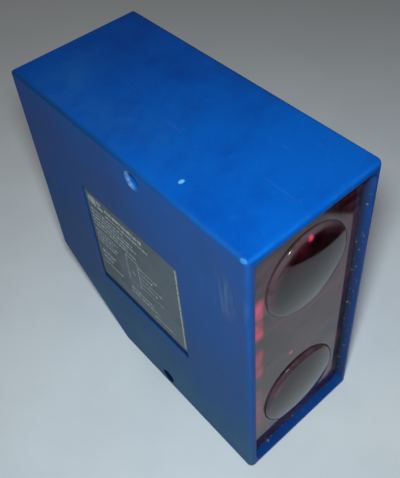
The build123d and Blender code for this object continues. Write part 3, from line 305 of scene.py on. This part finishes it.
def edge_highlight_and_darkening(look):
    """Painted highlight on the edges round the front face, and a darker band on the long edges that run to
    the rear.
    """
    near = []
    for name, low, high in (("X", LEFT_X, RIGHT_X), ("Y", FRONT_Y, REAR_Y), ("Z", 0.0, TOP_Z)):
        middle = (low + high) / 2
        half = (high - low) / 2
        offset = look.math("ABSOLUTE", look.math("SUBTRACT", look.axis(name), middle))
        near.append(look.math("SUBTRACT", half, offset))
    upright, level, long_edge = [
        look.math("MAXIMUM", near[first], near[second]) for first, second in ((0, 1), (1, 2), (0, 2))
    ]
    # Painted highlight band along the edges round the front face, broken by noise.
    rubbed_and_highlit = look.ramp(look.math("MINIMUM", upright, level), 0.3 * MM, 1.6 * MM, 1.0, 0.0)
    broken = look.ramp(look.noise(90, 4, 0.65), 0.36, 0.70, 0.10, 0.60)
    forwards = look.ramp(look.axis("Y"), -25 * MM, 45 * MM, 1.0, 0.20)
    # Darker band on the long edges, stronger towards the rear.
    long_edge_band = look.ramp(long_edge, 0.3 * MM, 1.9 * MM, 1.0, 0.0)
    rearwards = look.ramp(look.axis("Y"), -52 * MM, 15 * MM, 0.15, 0.85)
    return look.product(rubbed_and_highlit, forwards, broken), look.product(long_edge_band, rearwards)


def spot(look, centre, radius, stretch, raggedness):
    """A ragged oval mark at a point of the part."""
    offset = look.node("ShaderNodeVectorMath", {0: look.place, 1: centre}, operation="SUBTRACT")
    scaled = look.node("ShaderNodeVectorMath", {0: offset.outputs[0], 1: stretch}, operation="MULTIPLY")
    away = look.node("ShaderNodeVectorMath", {0: scaled.outputs[0]}, operation="LENGTH").outputs["Value"]
    ragged = look.product(look.noise(900, 3), radius * raggedness)
    return look.ramp(look.math("SUBTRACT", away, ragged), radius * 0.5, radius * 0.8, 1.0, 0.0)


def plain_plastic(name, colour, paler, roughness=0.42, grain=900, sockets=None):
    """Moulded plastic: a fine spark-eroded grain, slight mottling and handling marks."""
    look = Look(name, {"IOR": 1.47, **(sockets or {})})
    mottle = look.noise(60, 4, 0.6)
    rubbed_and_highlit = look.ramp(look.noise(35, 5, 0.7, shift=(1, 2, 3)), 0.45, 0.75, 0.0, 0.30)
    base = look.mix(look.ramp(mottle, 0.3, 0.7, 0.0, 0.25), colour, paler)
    look.drive("Base Color", look.mix(rubbed_and_highlit, base, paler))
    look.drive("Roughness", look.ramp(look.noise(240, 3), 0.3, 0.7, roughness - 0.06, roughness + 0.10))
    look.bump(look.noise(grain, 2, 0.5), 0.30, 0.00008)
    return look.material


def metal(name, colour, darker, roughness, brushed=(1, 1, 1)):
    """Machined or plated metal: fine tool marks, stains and uneven gloss."""
    look = Look(name, {"Metallic": 0.85, "IOR": 2.0})
    stain = look.ramp(look.noise(120, 5, 0.6), 0.45, 0.75, 0.0, 0.45)
    look.drive("Base Color", look.mix(stain, colour, darker))
    marks = look.noise(260, 3, 0.6, brushed)
    look.drive("Roughness", look.ramp(marks, 0.3, 0.7, roughness - 0.08, roughness + 0.12))
    look.bump(marks, 0.20, 0.00005)
    return look.material


def rubber(name, colour, paler):
    look = Look(name, {"IOR": 1.45, "Sheen Weight": 0.25, "Sheen Roughness": 0.5})
    bloom = look.ramp(look.noise(110, 5, 0.7), 0.42, 0.72, 0.0, 0.6)
    look.drive("Base Color", look.mix(bloom, colour, paler))
    look.drive("Roughness", look.ramp(look.noise(300, 3), 0.3, 0.7, 0.62, 0.85))
    look.bump(look.noise(1300, 3, 0.6), 0.35, 0.00010)
    return look.material


def clear_red_plastic():
    """Polished deep red plastic, with painted red glints and glow as emission along its left edge, on the
    lenses and faintly elsewhere.
    """
    look = Look("red_lens", {"IOR": 1.52, "Specular IOR Level": 0.50})
    away = lens_distance(look)
    cloud = look.noise(70, 4, 0.6)
    clear = look.mix(cloud, rgb(0.012, 0.0005, 0.0011), rgb(0.007, 0.0004, 0.0008))
    film = look.ramp(look.noise(48, 5, 0.7, shift=(2, 7, 1)), 0.34, 0.68, 0.0, 0.62)
    grit = look.ramp(look.noise(900, 2, 0.6), 0.70, 0.76, 0.0, 0.5)
    wiped = look.ramp(look.noise(34, 4, 0.6, (0.4, 1, 2.0), (0, 0.7, 0)), 0.46, 0.66, 0.0, 0.85)
    on_face = look.ramp(look.axis("Y"), PANEL_FACE_Y + 0.05 * MM, PANEL_FACE_Y + 0.4 * MM, 1.0, 0.05)
    off_lens = look.product(on_face, look.ramp(away, LENS_RADIUS - 4 * MM, LENS_RADIUS, 0.12, 1.0))
    film = look.product(look.math("MAXIMUM", film, wiped), off_lens)
    colour = look.mix(look.math("MAXIMUM", film, grit), clear, rgb(0.300, 0.112, 0.152))
    dust_and_sheen = lens_foot_dust(look, away)
    look.drive("Base Color", look.mix(dust_and_sheen, colour, rgb(0.085, 0.056, 0.063)))
    look.drive("Transmission Weight", look.ramp(dust_and_sheen, 0.0, 1.0, 0.66, 0.30))
    look.drive("Roughness", look.ramp(look.noise(50, 5, 0.7, (1, 2, 1)), 0.40, 0.75, 0.06, 0.14))
    # Painted glow: faint red emission in patches off the lenses.
    painted_faint_glow = look.ramp(look.noise(38, 4, 0.6, shift=(4, 1, 3)), 0.40, 0.72, 0.0, 0.007)
    painted_faint_glow = look.product(painted_faint_glow, off_lens)
    # All painted red glints and glow, sent out as emission.
    glow = look.math("ADD", look.math("ADD", painted_edge_glints(look), painted_lens_glints(look)), painted_faint_glow)
    look.drive("Emission Color", look.mix(cloud, rgb(1.0, 0.04, 0.13), rgb(1.0, 0.06, 0.18)))
    look.drive("Emission Strength", glow)
    look.bump(look.noise(180, 2, 0.4), 0.03, 0.00004)
    return look.material


def lens_distance(look):
    """Distance from the axis of the nearer lens."""
    from_middle = look.math("ABSOLUTE", look.math("SUBTRACT", look.axis("Z"), MIDDLE_Z))
    return look.length(look.axis("X"), look.math("SUBTRACT", from_middle, LENS_OFFSET))


def lens_foot_dust(look, away):
    """Dust that has settled in the angle between each lens and the flat of the panel."""
    inner = look.ramp(away, LENS_RADIUS - 1.6 * MM, LENS_RADIUS)
    outer = look.ramp(away, LENS_RADIUS + 0.8 * MM, LENS_RADIUS + 2.0 * MM, 1.0, 0.0)
    broken = look.ramp(look.noise(120, 4, 0.65, shift=(6, 1, 2)), 0.30, 0.62, 0.40, 1.0)
    return look.product(inner, outer, broken)


def painted_edge_glints(look):
    """Painted red glints as emission in the panel's borders: three patches on the left, and a faint line on
    the right.
    """
    low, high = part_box("front_lens_panel")
    border = look.ramp(look.axis("X"), low.x + 3.4 * MM, low.x + 5.2 * MM, 1.0, 0.0)
    far_border = look.product(
        look.ramp(look.axis("X"), high.x - 7 * MM, high.x - 5 * MM, 0.0, 0.010),
        look.ramp(look.axis("X"), high.x - 4 * MM, high.x - 3 * MM, 1.0, 0.0),
    )
    patches = None
    for bottom, top, strength in ((77, 101, 0.34), (54, 75, 0.17), (18, 50, 0.09)):
        rise = look.ramp(look.axis("Z"), bottom * MM, (bottom + 5) * MM, 0.0, strength)
        fall = look.ramp(look.axis("Z"), (top - 5) * MM, top * MM, 1.0, 0.0)
        patch = look.product(rise, fall)
        patches = patch if patches is None else look.math("ADD", patches, patch)
    ragged = look.ramp(look.noise(150, 4, 0.6), 0.32, 0.60, 0.22, 1.0)
    glow = look.math("ADD", look.product(border, patches), far_border)
    return look.product(glow, ragged)


def painted_lens_glints(look):
    """Painted red glints as emission: a small one near the top of the emitter's lens, and faint ones below.
    """
    total = None
    for place, radius, strength in (
        ((-0.9, -57.6, 112.4), 2.2, 1.0),
        ((-4.0, -57.8, 109.6), 5.5, 0.022),
        ((-12.0, -57.8, 105.0), 5.0, 0.006),
        ((-4.9, -56.0, 54.9), 1.9, 0.45),
        ((3.9, -56.0, 50.3), 1.7, 0.15),
        ((-6.0, -58.0, 103.0), 7.0, 0.012),
        ((-1.0, -58.2, 34.0), 6.0, 0.012),
    ):
        ragged = look.product(look.noise(420, 3, 0.6), radius * 0.5 * MM)
        away = look.math("ADD", look.distance(Vector(place) * MM), ragged)
        mark = look.ramp(away, radius * 0.2 * MM, radius * MM, strength, 0.0)
        total = mark if total is None else look.math("ADD", total, mark)
    return total


def satin_foil():
    """Grey printed foil: a fine brushed grain, rubbed patches and dust."""
    look = Look("label_foil", {"Metallic": 0.25, "IOR": 1.5, "Specular IOR Level": 0.35})
    grain = look.noise(500, 3, 0.6, (1, 0.06, 1))
    rubbed_and_highlit = look.ramp(look.noise(90, 5, 0.7), 0.40, 0.72)
    base = look.mix(look.ramp(grain, 0.3, 0.7, 0.0, 0.5), rgb(0.078, 0.110, 0.140), rgb(0.110, 0.145, 0.175))
    grime_and_darkening = look.ramp(look.noise(45, 5, 0.7, shift=(2, 4, 1)), 0.42, 0.70, 0.0, 0.45)
    base = look.mix(grime_and_darkening, base, rgb(0.062, 0.072, 0.068))
    look.drive("Base Color", look.mix(look.product(rubbed_and_highlit, 0.5), base, rgb(0.135, 0.150, 0.150)))
    look.drive("Roughness", look.ramp(rubbed_and_highlit, 0.0, 1.0, 0.42, 0.60))
    look.bump(grain, 0.15, 0.00004)
    return look.material


def label_ink():
    """Pale worn print on the label."""
    look = Look("label_ink", {"IOR": 1.45})
    wear = look.ramp(look.noise(1100, 3, 0.7), 0.38, 0.58)
    look.drive("Base Color", look.mix(wear, rgb(0.17, 0.20, 0.21), rgb(0.48, 0.51, 0.52)))
    look.drive("Roughness", look.ramp(wear, 0.0, 1.0, 0.65, 0.45))
    look.bump(look.noise(1500, 2), 0.2, 0.00003)
    return look.material


def circuit_board():
    """Green laminate with copper tracks that show under the lacquer."""
    look = Look("circuit_board", {"IOR": 1.5, "Coat Weight": 0.5, "Coat Roughness": 0.15})
    cells = look.node("ShaderNodeTexVoronoi", {"Vector": look.place, "Scale": 260.0}, distance="CHEBYCHEV")
    tracks = look.ramp(cells.outputs["Distance"], 0.42, 0.48)
    look.drive("Base Color", look.mix(tracks, rgb(0.006, 0.10, 0.035), rgb(0.03, 0.20, 0.06)))
    look.drive("Roughness", look.ramp(look.noise(200, 3), 0.3, 0.7, 0.26, 0.42))
    look.bump(tracks, 0.35, 0.00004)
    return look.material


def lamp(name, colour, glow, strength):
    """Tinted resin of an LED or a light pipe, faintly lit."""
    look = Look(
        name,
        {"IOR": 1.5, "Transmission Weight": 0.5, "Emission Color": glow, "Emission Strength": strength},
    )
    cloud = look.noise(500, 3)
    look.drive("Base Color", look.mix(cloud, colour, rgb(*[c * 0.6 for c in colour[:3]])))
    look.drive("Roughness", look.ramp(cloud, 0.3, 0.7, 0.08, 0.22))
    look.bump(look.noise(900, 2), 0.1, 0.00004)
    return look.material


def dark_film():
    """A grey polarising film."""
    look = Look("filter_film", {"IOR": 1.5})
    streak = look.noise(300, 3, 0.5, (1, 1, 0.08))
    look.drive("Base Color", look.mix(streak, rgb(0.010, 0.008, 0.010), rgb(0.030, 0.022, 0.028)))
    look.drive("Roughness", look.ramp(streak, 0.3, 0.7, 0.10, 0.20))
    look.bump(streak, 0.05, 0.00003)
    return look.material


def winding_tape():
    look = Look("winding_tape", {"IOR": 1.5, "Coat Weight": 0.3, "Coat Roughness": 0.25})
    wave = look.node("ShaderNodeTexWave", {"Vector": look.place, "Scale": 900.0, "Distortion": 1.0})
    lines = wave.outputs["Fac"]
    look.drive("Base Color", look.mix(lines, rgb(0.60, 0.42, 0.06), rgb(0.72, 0.55, 0.12)))
    look.drive("Roughness", look.ramp(look.noise(300, 3), 0.3, 0.7, 0.30, 0.48))
    look.bump(lines, 0.25, 0.00006)
    return look.material


def laminated_steel():
    look = Look("core_steel", {"Metallic": 0.9})
    wave = look.node(
        "ShaderNodeTexWave", {"Vector": look.place, "Scale": 320.0, "Distortion": 0.4}, bands_direction="Y"
    )
    lines = wave.outputs["Fac"]
    look.drive("Base Color", look.mix(lines, rgb(0.09, 0.09, 0.10), rgb(0.22, 0.22, 0.23)))
    look.drive("Roughness", look.ramp(look.noise(250, 4), 0.3, 0.7, 0.38, 0.60))
    look.bump(lines, 0.5, 0.00010)
    return look.material


MATERIALS = {
    "housing_paint": worn_paint(),
    "label_foil": satin_foil(),
    "red_lens": clear_red_plastic(),
    "seal_rubber": rubber("seal_rubber", rgb(0.010, 0.010, 0.011), rgb(0.05, 0.05, 0.05)),
    "optics_black": plain_plastic("optics_black", rgb(0.006, 0.005, 0.006), rgb(0.02, 0.016, 0.018), 0.55),
    "steel_screw": metal("steel_screw", rgb(0.55, 0.56, 0.58), rgb(0.25, 0.24, 0.23), 0.30),
    "filter_film": dark_film(),
    "circuit_board": circuit_board(),
    "led_red": lamp("led_red", rgb(0.7, 0.02, 0.02), rgb(1.0, 0.05, 0.04), 2.0),
    "led_green": lamp("led_green", rgb(0.1, 0.6, 0.12), rgb(0.2, 1.0, 0.3), 0.0),
    "led_amber": lamp("led_amber", rgb(0.8, 0.35, 0.02), rgb(1.0, 0.5, 0.1), 0.0),
    "sensor_can": metal("sensor_can", rgb(0.62, 0.60, 0.52), rgb(0.35, 0.32, 0.25), 0.22),
    "core_steel": laminated_steel(),
    "winding_tape": winding_tape(),
    "relay_case": plain_plastic("relay_case", rgb(0.03, 0.03, 0.035), rgb(0.09, 0.09, 0.10), 0.35),
    "capacitor_can": metal("capacitor_can", rgb(0.10, 0.12, 0.20), rgb(0.05, 0.06, 0.10), 0.35),
    "header_plastic": plain_plastic("header_plastic", rgb(0.55, 0.53, 0.47), rgb(0.70, 0.68, 0.62), 0.4),
    "ribbon_grey": plain_plastic("ribbon_grey", rgb(0.25, 0.26, 0.28), rgb(0.42, 0.43, 0.45), 0.5),
    "control_body": plain_plastic("control_body", rgb(0.02, 0.10, 0.30), rgb(0.05, 0.18, 0.42), 0.4),
    "terminal_green": plain_plastic("terminal_green", rgb(0.02, 0.22, 0.08), rgb(0.06, 0.34, 0.14), 0.42),
    "brass_parts": metal("brass_parts", rgb(0.60, 0.42, 0.16), rgb(0.35, 0.22, 0.08), 0.28),
    "cover_plastic": plain_plastic("cover_plastic", rgb(0.012, 0.013, 0.016), rgb(0.05, 0.052, 0.056), 0.5),
    "knob_plastic": plain_plastic("knob_plastic", rgb(0.45, 0.46, 0.47), rgb(0.62, 0.63, 0.63), 0.42),
    "selector_plastic": plain_plastic("selector_plastic", rgb(0.75, 0.20, 0.02), rgb(0.85, 0.35, 0.08), 0.4),
    "gland_nickel": metal("gland_nickel", rgb(0.64, 0.62, 0.58), rgb(0.50, 0.48, 0.44), 0.26),
}

for part in frame["record"]["subparts"]:
    node = NODES[part["node"]]
    node.data.materials.clear()
    node.data.materials.append(MATERIALS[part["material_slot"]])


# ---------------------------------------------------------------- print and marks

class Plates:
    """Thin raised marks gathered into one mesh, each a flat polygon made thick along one axis."""

    def __init__(self, name, place):
        self.name = name
        self.place = place
        self.vertices = []
        self.faces = []

    def polygon(self, outline):
        """Adds one mark. outline holds points of the flat drawing, counter-clockwise, in mm."""
        start = len(self.vertices)
        count = len(outline)
        for level in (0.0, 1.0):
            self.vertices += [self.place(across, up, level) for across, up in outline]
        self.faces.append([start + count + i for i in range(count)])
        self.faces.append([start + i for i in reversed(range(count))])
        for i in range(count):
            after = (i + 1) % count
            self.faces.append([start + i, start + after, start + count + after, start + count + i])

    def bar(self, across, up, width, height):
        right = across + width
        top = up + height
        self.polygon([(across, up), (right, up), (right, top), (across, top)])

    def frame(self, across, up, width, height, line):
        self.bar(across, up, width, line)
        self.bar(across, up + height - line, width, line)
        self.bar(across, up + line, line, height - 2 * line)
        self.bar(across + width - line, up + line, line, height - 2 * line)

    def row(self, across, up, width, height, draw, longest=2.6, gap=0.45):
        """A row of dashes of uneven length, in place of a line of print."""
        end = across + width
        while across < end - 0.4:
            length = min(draw.uniform(0.5, longest), end - across)
            self.bar(across, up, length, height)
            across += length + gap

    def spoke(self, centre, angle, inner, outer, width):
        """A short radial mark round a centre."""
        along = Vector((math.sin(angle), math.cos(angle)))
        side = Vector((along.y, -along.x)) * width / 2
        middle = Vector(centre)
        corners = [
            middle + along * inner + side,
            middle + along * outer + side,
            middle + along * outer - side,
            middle + along * inner - side,
        ]
        self.polygon([tuple(corner) for corner in reversed(corners)])

    def build(self, material, body):
        mesh = bpy.data.meshes.new(self.name)
        mesh.from_pydata(self.vertices, [], self.faces)
        mesh.validate()
        mesh.materials.append(material)
        made = bpy.data.objects.new(self.name, mesh)
        bpy.context.scene.collection.objects.link(made)
        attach(made, body)
        return made


def label_print():
    """Bars, dashes and a plain schematic where the label has its print. Rows run from rear to front."""
    low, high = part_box("rating_label")

    def place(across, up, level):
        outwards = level * INK_THICKNESS - INK_OVERLAP
        return Vector((low.x - outwards, high.y - across * MM, low.z + up * MM))

    draw = random.Random(11)
    marks = Plates("label_print", place)
    marks.bar(1.6, 42.6, 4.6, 3.6)
    marks.bar(7.0, 44.6, 2.2, 1.6)
    marks.bar(7.0, 42.6, 3.4, 1.1)
    marks.row(11.4, 43.6, 21.0, 1.5, draw, 3.4, 0.35)
    marks.row(11.4, 41.2, 24.0, 0.8, draw)
    for number in range(5):
        marks.row(1.8, 38.8 - number * 2.0, draw.uniform(20.0, 27.0), 0.75, draw)
    for number in range(4):
        marks.row(1.8, 27.6 - number * 2.0, draw.uniform(10.0, 16.0), 0.65, draw)
    schematic(marks)
    marks.row(3.0, 15.6, 9.0, 1.5, draw, 1.6, 0.5)
    marks.row(3.0, 12.6, 7.0, 1.1, draw, 1.6, 0.5)
    marks.row(2.4, 9.4, 12.0, 0.7, draw)
    marks.row(20.0, 8.8, 13.0, 0.9, draw)
    marks.row(20.0, 6.6, 17.0, 0.7, draw)
    marks.row(33.0, 3.6, 12.0, 0.7, draw)
    marks.bar(49.95, 1.4, 0.75, 45.6)
    return marks.build(label_ink(), "sensor_body")


def schematic(marks):
    """A plain wiring drawing: a box, five leads of uneven length and two switch strokes."""
    line = 0.28
    marks.frame(20.0, 14.0, 7.0, 15.0, line)
    for number, length in enumerate((12.0, 9.0, 12.0, 7.0, 10.0)):
        up = 15.6 + number * 2.8
        marks.bar(27.0, up, length, line)
        marks.bar(27.0 + length, up - 0.35, 0.9, 0.9)
    marks.polygon([(31.0, 18.6), (31.3, 18.6), (33.2, 20.9), (32.9, 20.9)])
    marks.polygon([(34.0, 24.2), (34.3, 24.2), (36.2, 26.5), (35.9, 26.5)])
    marks.bar(22.4, 20.4, 2.4, line)
    marks.bar(23.4, 19.0, line, 3.0)


def control_marks():
    """Scale marks round each knob on the floor of the control tray."""
    thickness = 0.04 * MM

    def place(across, up, level):
        return Vector((-across * MM, TRAY_FLOOR_Y - INK_OVERLAP + level * thickness, up * MM))

    marks = Plates("control_marks", place)
    for knob in ("sensitivity_knob", "on_delay_knob", "off_delay_knob"):
        centre = knob_centre(knob)
        for step in range(KNOB_STEPS + 1):
            angle = math.radians(KNOB_TURN * (step / KNOB_STEPS - 0.5))
            long_mark = step in (0, KNOB_STEPS // 2, KNOB_STEPS)
            marks.spoke(centre, angle, 4.7, 6.1 if long_mark else 5.5, 0.45 if long_mark else 0.28)
    centre = knob_centre("light_dark_selector")
    for angle in (0, 90):
        marks.spoke(centre, math.radians(angle), 4.7, 6.1, 0.6)
    return marks.build(MATERIALS["knob_plastic"], "rear_cover")


def control_board_parts():
    """Chips and small parts on the free strips of the control board."""
    board_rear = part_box("control_board")[1].y
    sunk = 0.01 * MM
    thickness = 0.9 * MM

    def place(across, up, level):
        return Vector((-across * MM, board_rear - sunk + level * thickness, up * MM))

    marks = Plates("control_board_parts", place)
    for across, up, width, height in (
        (-13.5, 76.2, 4.2, 3.2), (-6.8, 76.4, 1.2, 2.2), (-4.4, 76.4, 1.2, 2.2), (-1.6, 76.4, 1.2, 2.2),
        (1.8, 76.2, 5.2, 3.2), (9.0, 76.6, 2.2, 1.2), (9.0, 78.4, 2.2, 1.2), (-5.5, 49.0, 5.0, 3.6),
        (2.6, 49.4, 1.2, 2.2), (5.0, 49.4, 1.2, 2.2), (8.4, 49.8, 2.2, 1.2), (-1.6, 105.8, 1.2, 2.2),
        (0.8, 105.8, 1.2, 2.2), (-7.8, 106.4, 2.2, 1.2), (5.4, 106.4, 2.2, 1.2),
    ):
        marks.bar(across, up, width, height)
    made = marks.build(MATERIALS["relay_case"], "sensor_body")
    rounding = made.modifiers.new("rounding", "BEVEL")
    rounding.width = 0.12 * MM
    rounding.segments = 2
    return made


def control_board_legend():
    """Pale outlines printed on the control board round its potentiometers, switch and terminal block."""
    board_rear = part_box("control_board")[1].y

    def place(across, up, level):
        return Vector((-across * MM, board_rear - INK_OVERLAP + level * INK_THICKNESS, up * MM))

    marks = Plates("control_board_legend", place)
    for across in (-8.5, 8.5):
        for up in (86.0, 100.0):
            marks.frame(across - 5.3, up - 5.3, 10.6, 10.6, 0.25)
    marks.frame(-18.6, 55.4, 37.2, 19.2, 0.25)
    draw = random.Random(5)
    for across, up in (
        (-15.5, 81.2), (14.5, 81.2), (-15.2, 104.0), (13.4, 104.0), (-12.0, 53.6), (10.0, 53.6),
    ):
        marks.row(across, up, 2.0, 0.6, draw, 0.8, 0.2)
    return marks.build(MATERIALS["header_plastic"], "sensor_body")


def knob_centre(node):
    low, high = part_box(node)
    middle = (low + high) / 2 / MM
    return (-middle.x, middle.z)


label_print()
control_marks()
control_board_parts()
control_board_legend()


# ---------------------------------------------------------------- studio

def studio():
    scene = bpy.context.scene
    scene.view_settings.view_transform = "Standard"
    scene.view_settings.look = "None"
    world = bpy.data.worlds.new("studio")
    world.use_nodes = True
    background = world.node_tree.nodes["Background"]
    background.inputs["Color"].default_value = rgb(0.55, 0.54, 0.53)
    background.inputs["Strength"].default_value = 0.165
    scene.world = world


def camera():
    """The viewpoint: close above the front left corner, looking down across the box."""
    data = bpy.data.cameras.new("camera")
    data.lens = 50.66
    data.sensor_width = 36.0
    data.shift_y = -0.113
    data.clip_start = 0.01
    made = bpy.data.objects.new("camera", data)
    made.location = Vector((-97.3, -134.4, 257.7)) * MM
    made.rotation_euler = Euler([math.radians(a) for a in (44.74, 3.63, -41.17)])
    bpy.context.scene.collection.objects.link(made)
    bpy.context.scene.camera = made
    return made


def area_light(name, place, target, size, power, colour, height=None):
    """A soft light that faces target: a disc, or a level strip where height is given."""
    data = bpy.data.lights.new(name, "AREA")
    data.shape = "DISK" if height is None else "RECTANGLE"
    data.size = size
    if height is not None:
        data.size_y = height
    data.energy = power
    data.color = colour
    made = bpy.data.objects.new(name, data)
    made.location = place
    made.rotation_euler = (target - place).to_track_quat("-Z", "Y").to_euler()
    bpy.context.scene.collection.objects.link(made)
    return made


def flat_plane(name, corners, look):
    """A stage surface from its four corners, in metres."""
    mesh = bpy.data.meshes.new(name)
    mesh.from_pydata(corners, [], [(0, 1, 2, 3)])
    mesh.materials.append(look.material)
    made = bpy.data.objects.new(name, mesh)
    bpy.context.scene.collection.objects.link(made)
    return made


def pale_floor():
    half = 2.0
    look = Look("floor_surface", {"IOR": 1.45, "Specular IOR Level": 0.3})
    mottle = look.noise(14, 5, 0.6)
    pale = look.mix(look.ramp(mottle, 0.3, 0.7), rgb(0.62, 0.63, 0.64), rgb(0.68, 0.69, 0.69))
    # Painted shade: the floor gets darker away from the camera and the key light.
    painted_floor_falloff = look.math("ADD", look.axis("X"), look.axis("Y"))
    look.drive("Base Color", look.mix(look.ramp(painted_floor_falloff, 0.08, 0.50), pale, rgb(0.45, 0.45, 0.45)))
    look.drive("Roughness", look.ramp(look.noise(30, 4), 0.3, 0.7, 0.42, 0.55))
    look.bump(look.noise(500, 3), 0.1, 0.0001)
    corners = [(-half, -half, 0), (half, -half, 0), (half, half, 0), (-half, half, 0)]
    return flat_plane("floor", corners, look)


def dark_card():
    """A black card in front of the lenses that only reflections see: the dark end of the table."""
    near = 210 * MM
    far = 3.0
    look = Look("dark_card", {"Specular IOR Level": 0.0})
    look.drive("Base Color", look.mix(look.noise(8, 3), rgb(0.004, 0.004, 0.005), rgb(0.007, 0.006, 0.007)))
    height = 1.0 * MM
    corners = [
        (-far, -far - near, height),
        (far, -far - near, height),
        (far, far - near, height),
        (0, -near, height),
    ]
    card = flat_plane("dark_card", corners, look)
    card.visible_camera = False
    card.visible_diffuse = False
    card.visible_shadow = False
    return card


KEY_TINT = (0.80, 0.93, 1.0)
KEY_OFFSET = Vector((0.007, 0.013, 0.014))
FILL_TINT = (1.0, 0.98, 0.96)
FILL_SPREAD = math.radians(60)

studio()
VIEWPOINT = camera()
MIDDLE = (LOWEST + HIGHEST) / 2
pale_floor()
dark_card()
key = area_light("key", VIEWPOINT.location + KEY_OFFSET, MIDDLE, 0.03, 0.78, KEY_TINT)
key.visible_glossy = False
for name, place, power in (
    ("rear_fill", (0.22, 0.80, 0.035), 1.05),
    ("right_fill", (0.80, 0.06, 0.035), 0.42),
):
    fill = area_light(name, Vector(place), MIDDLE, 0.6, power, FILL_TINT, 0.05)
    fill.data.spread = FILL_SPREAD
    fill.visible_glossy = False

bpy.context.view_layer.update()
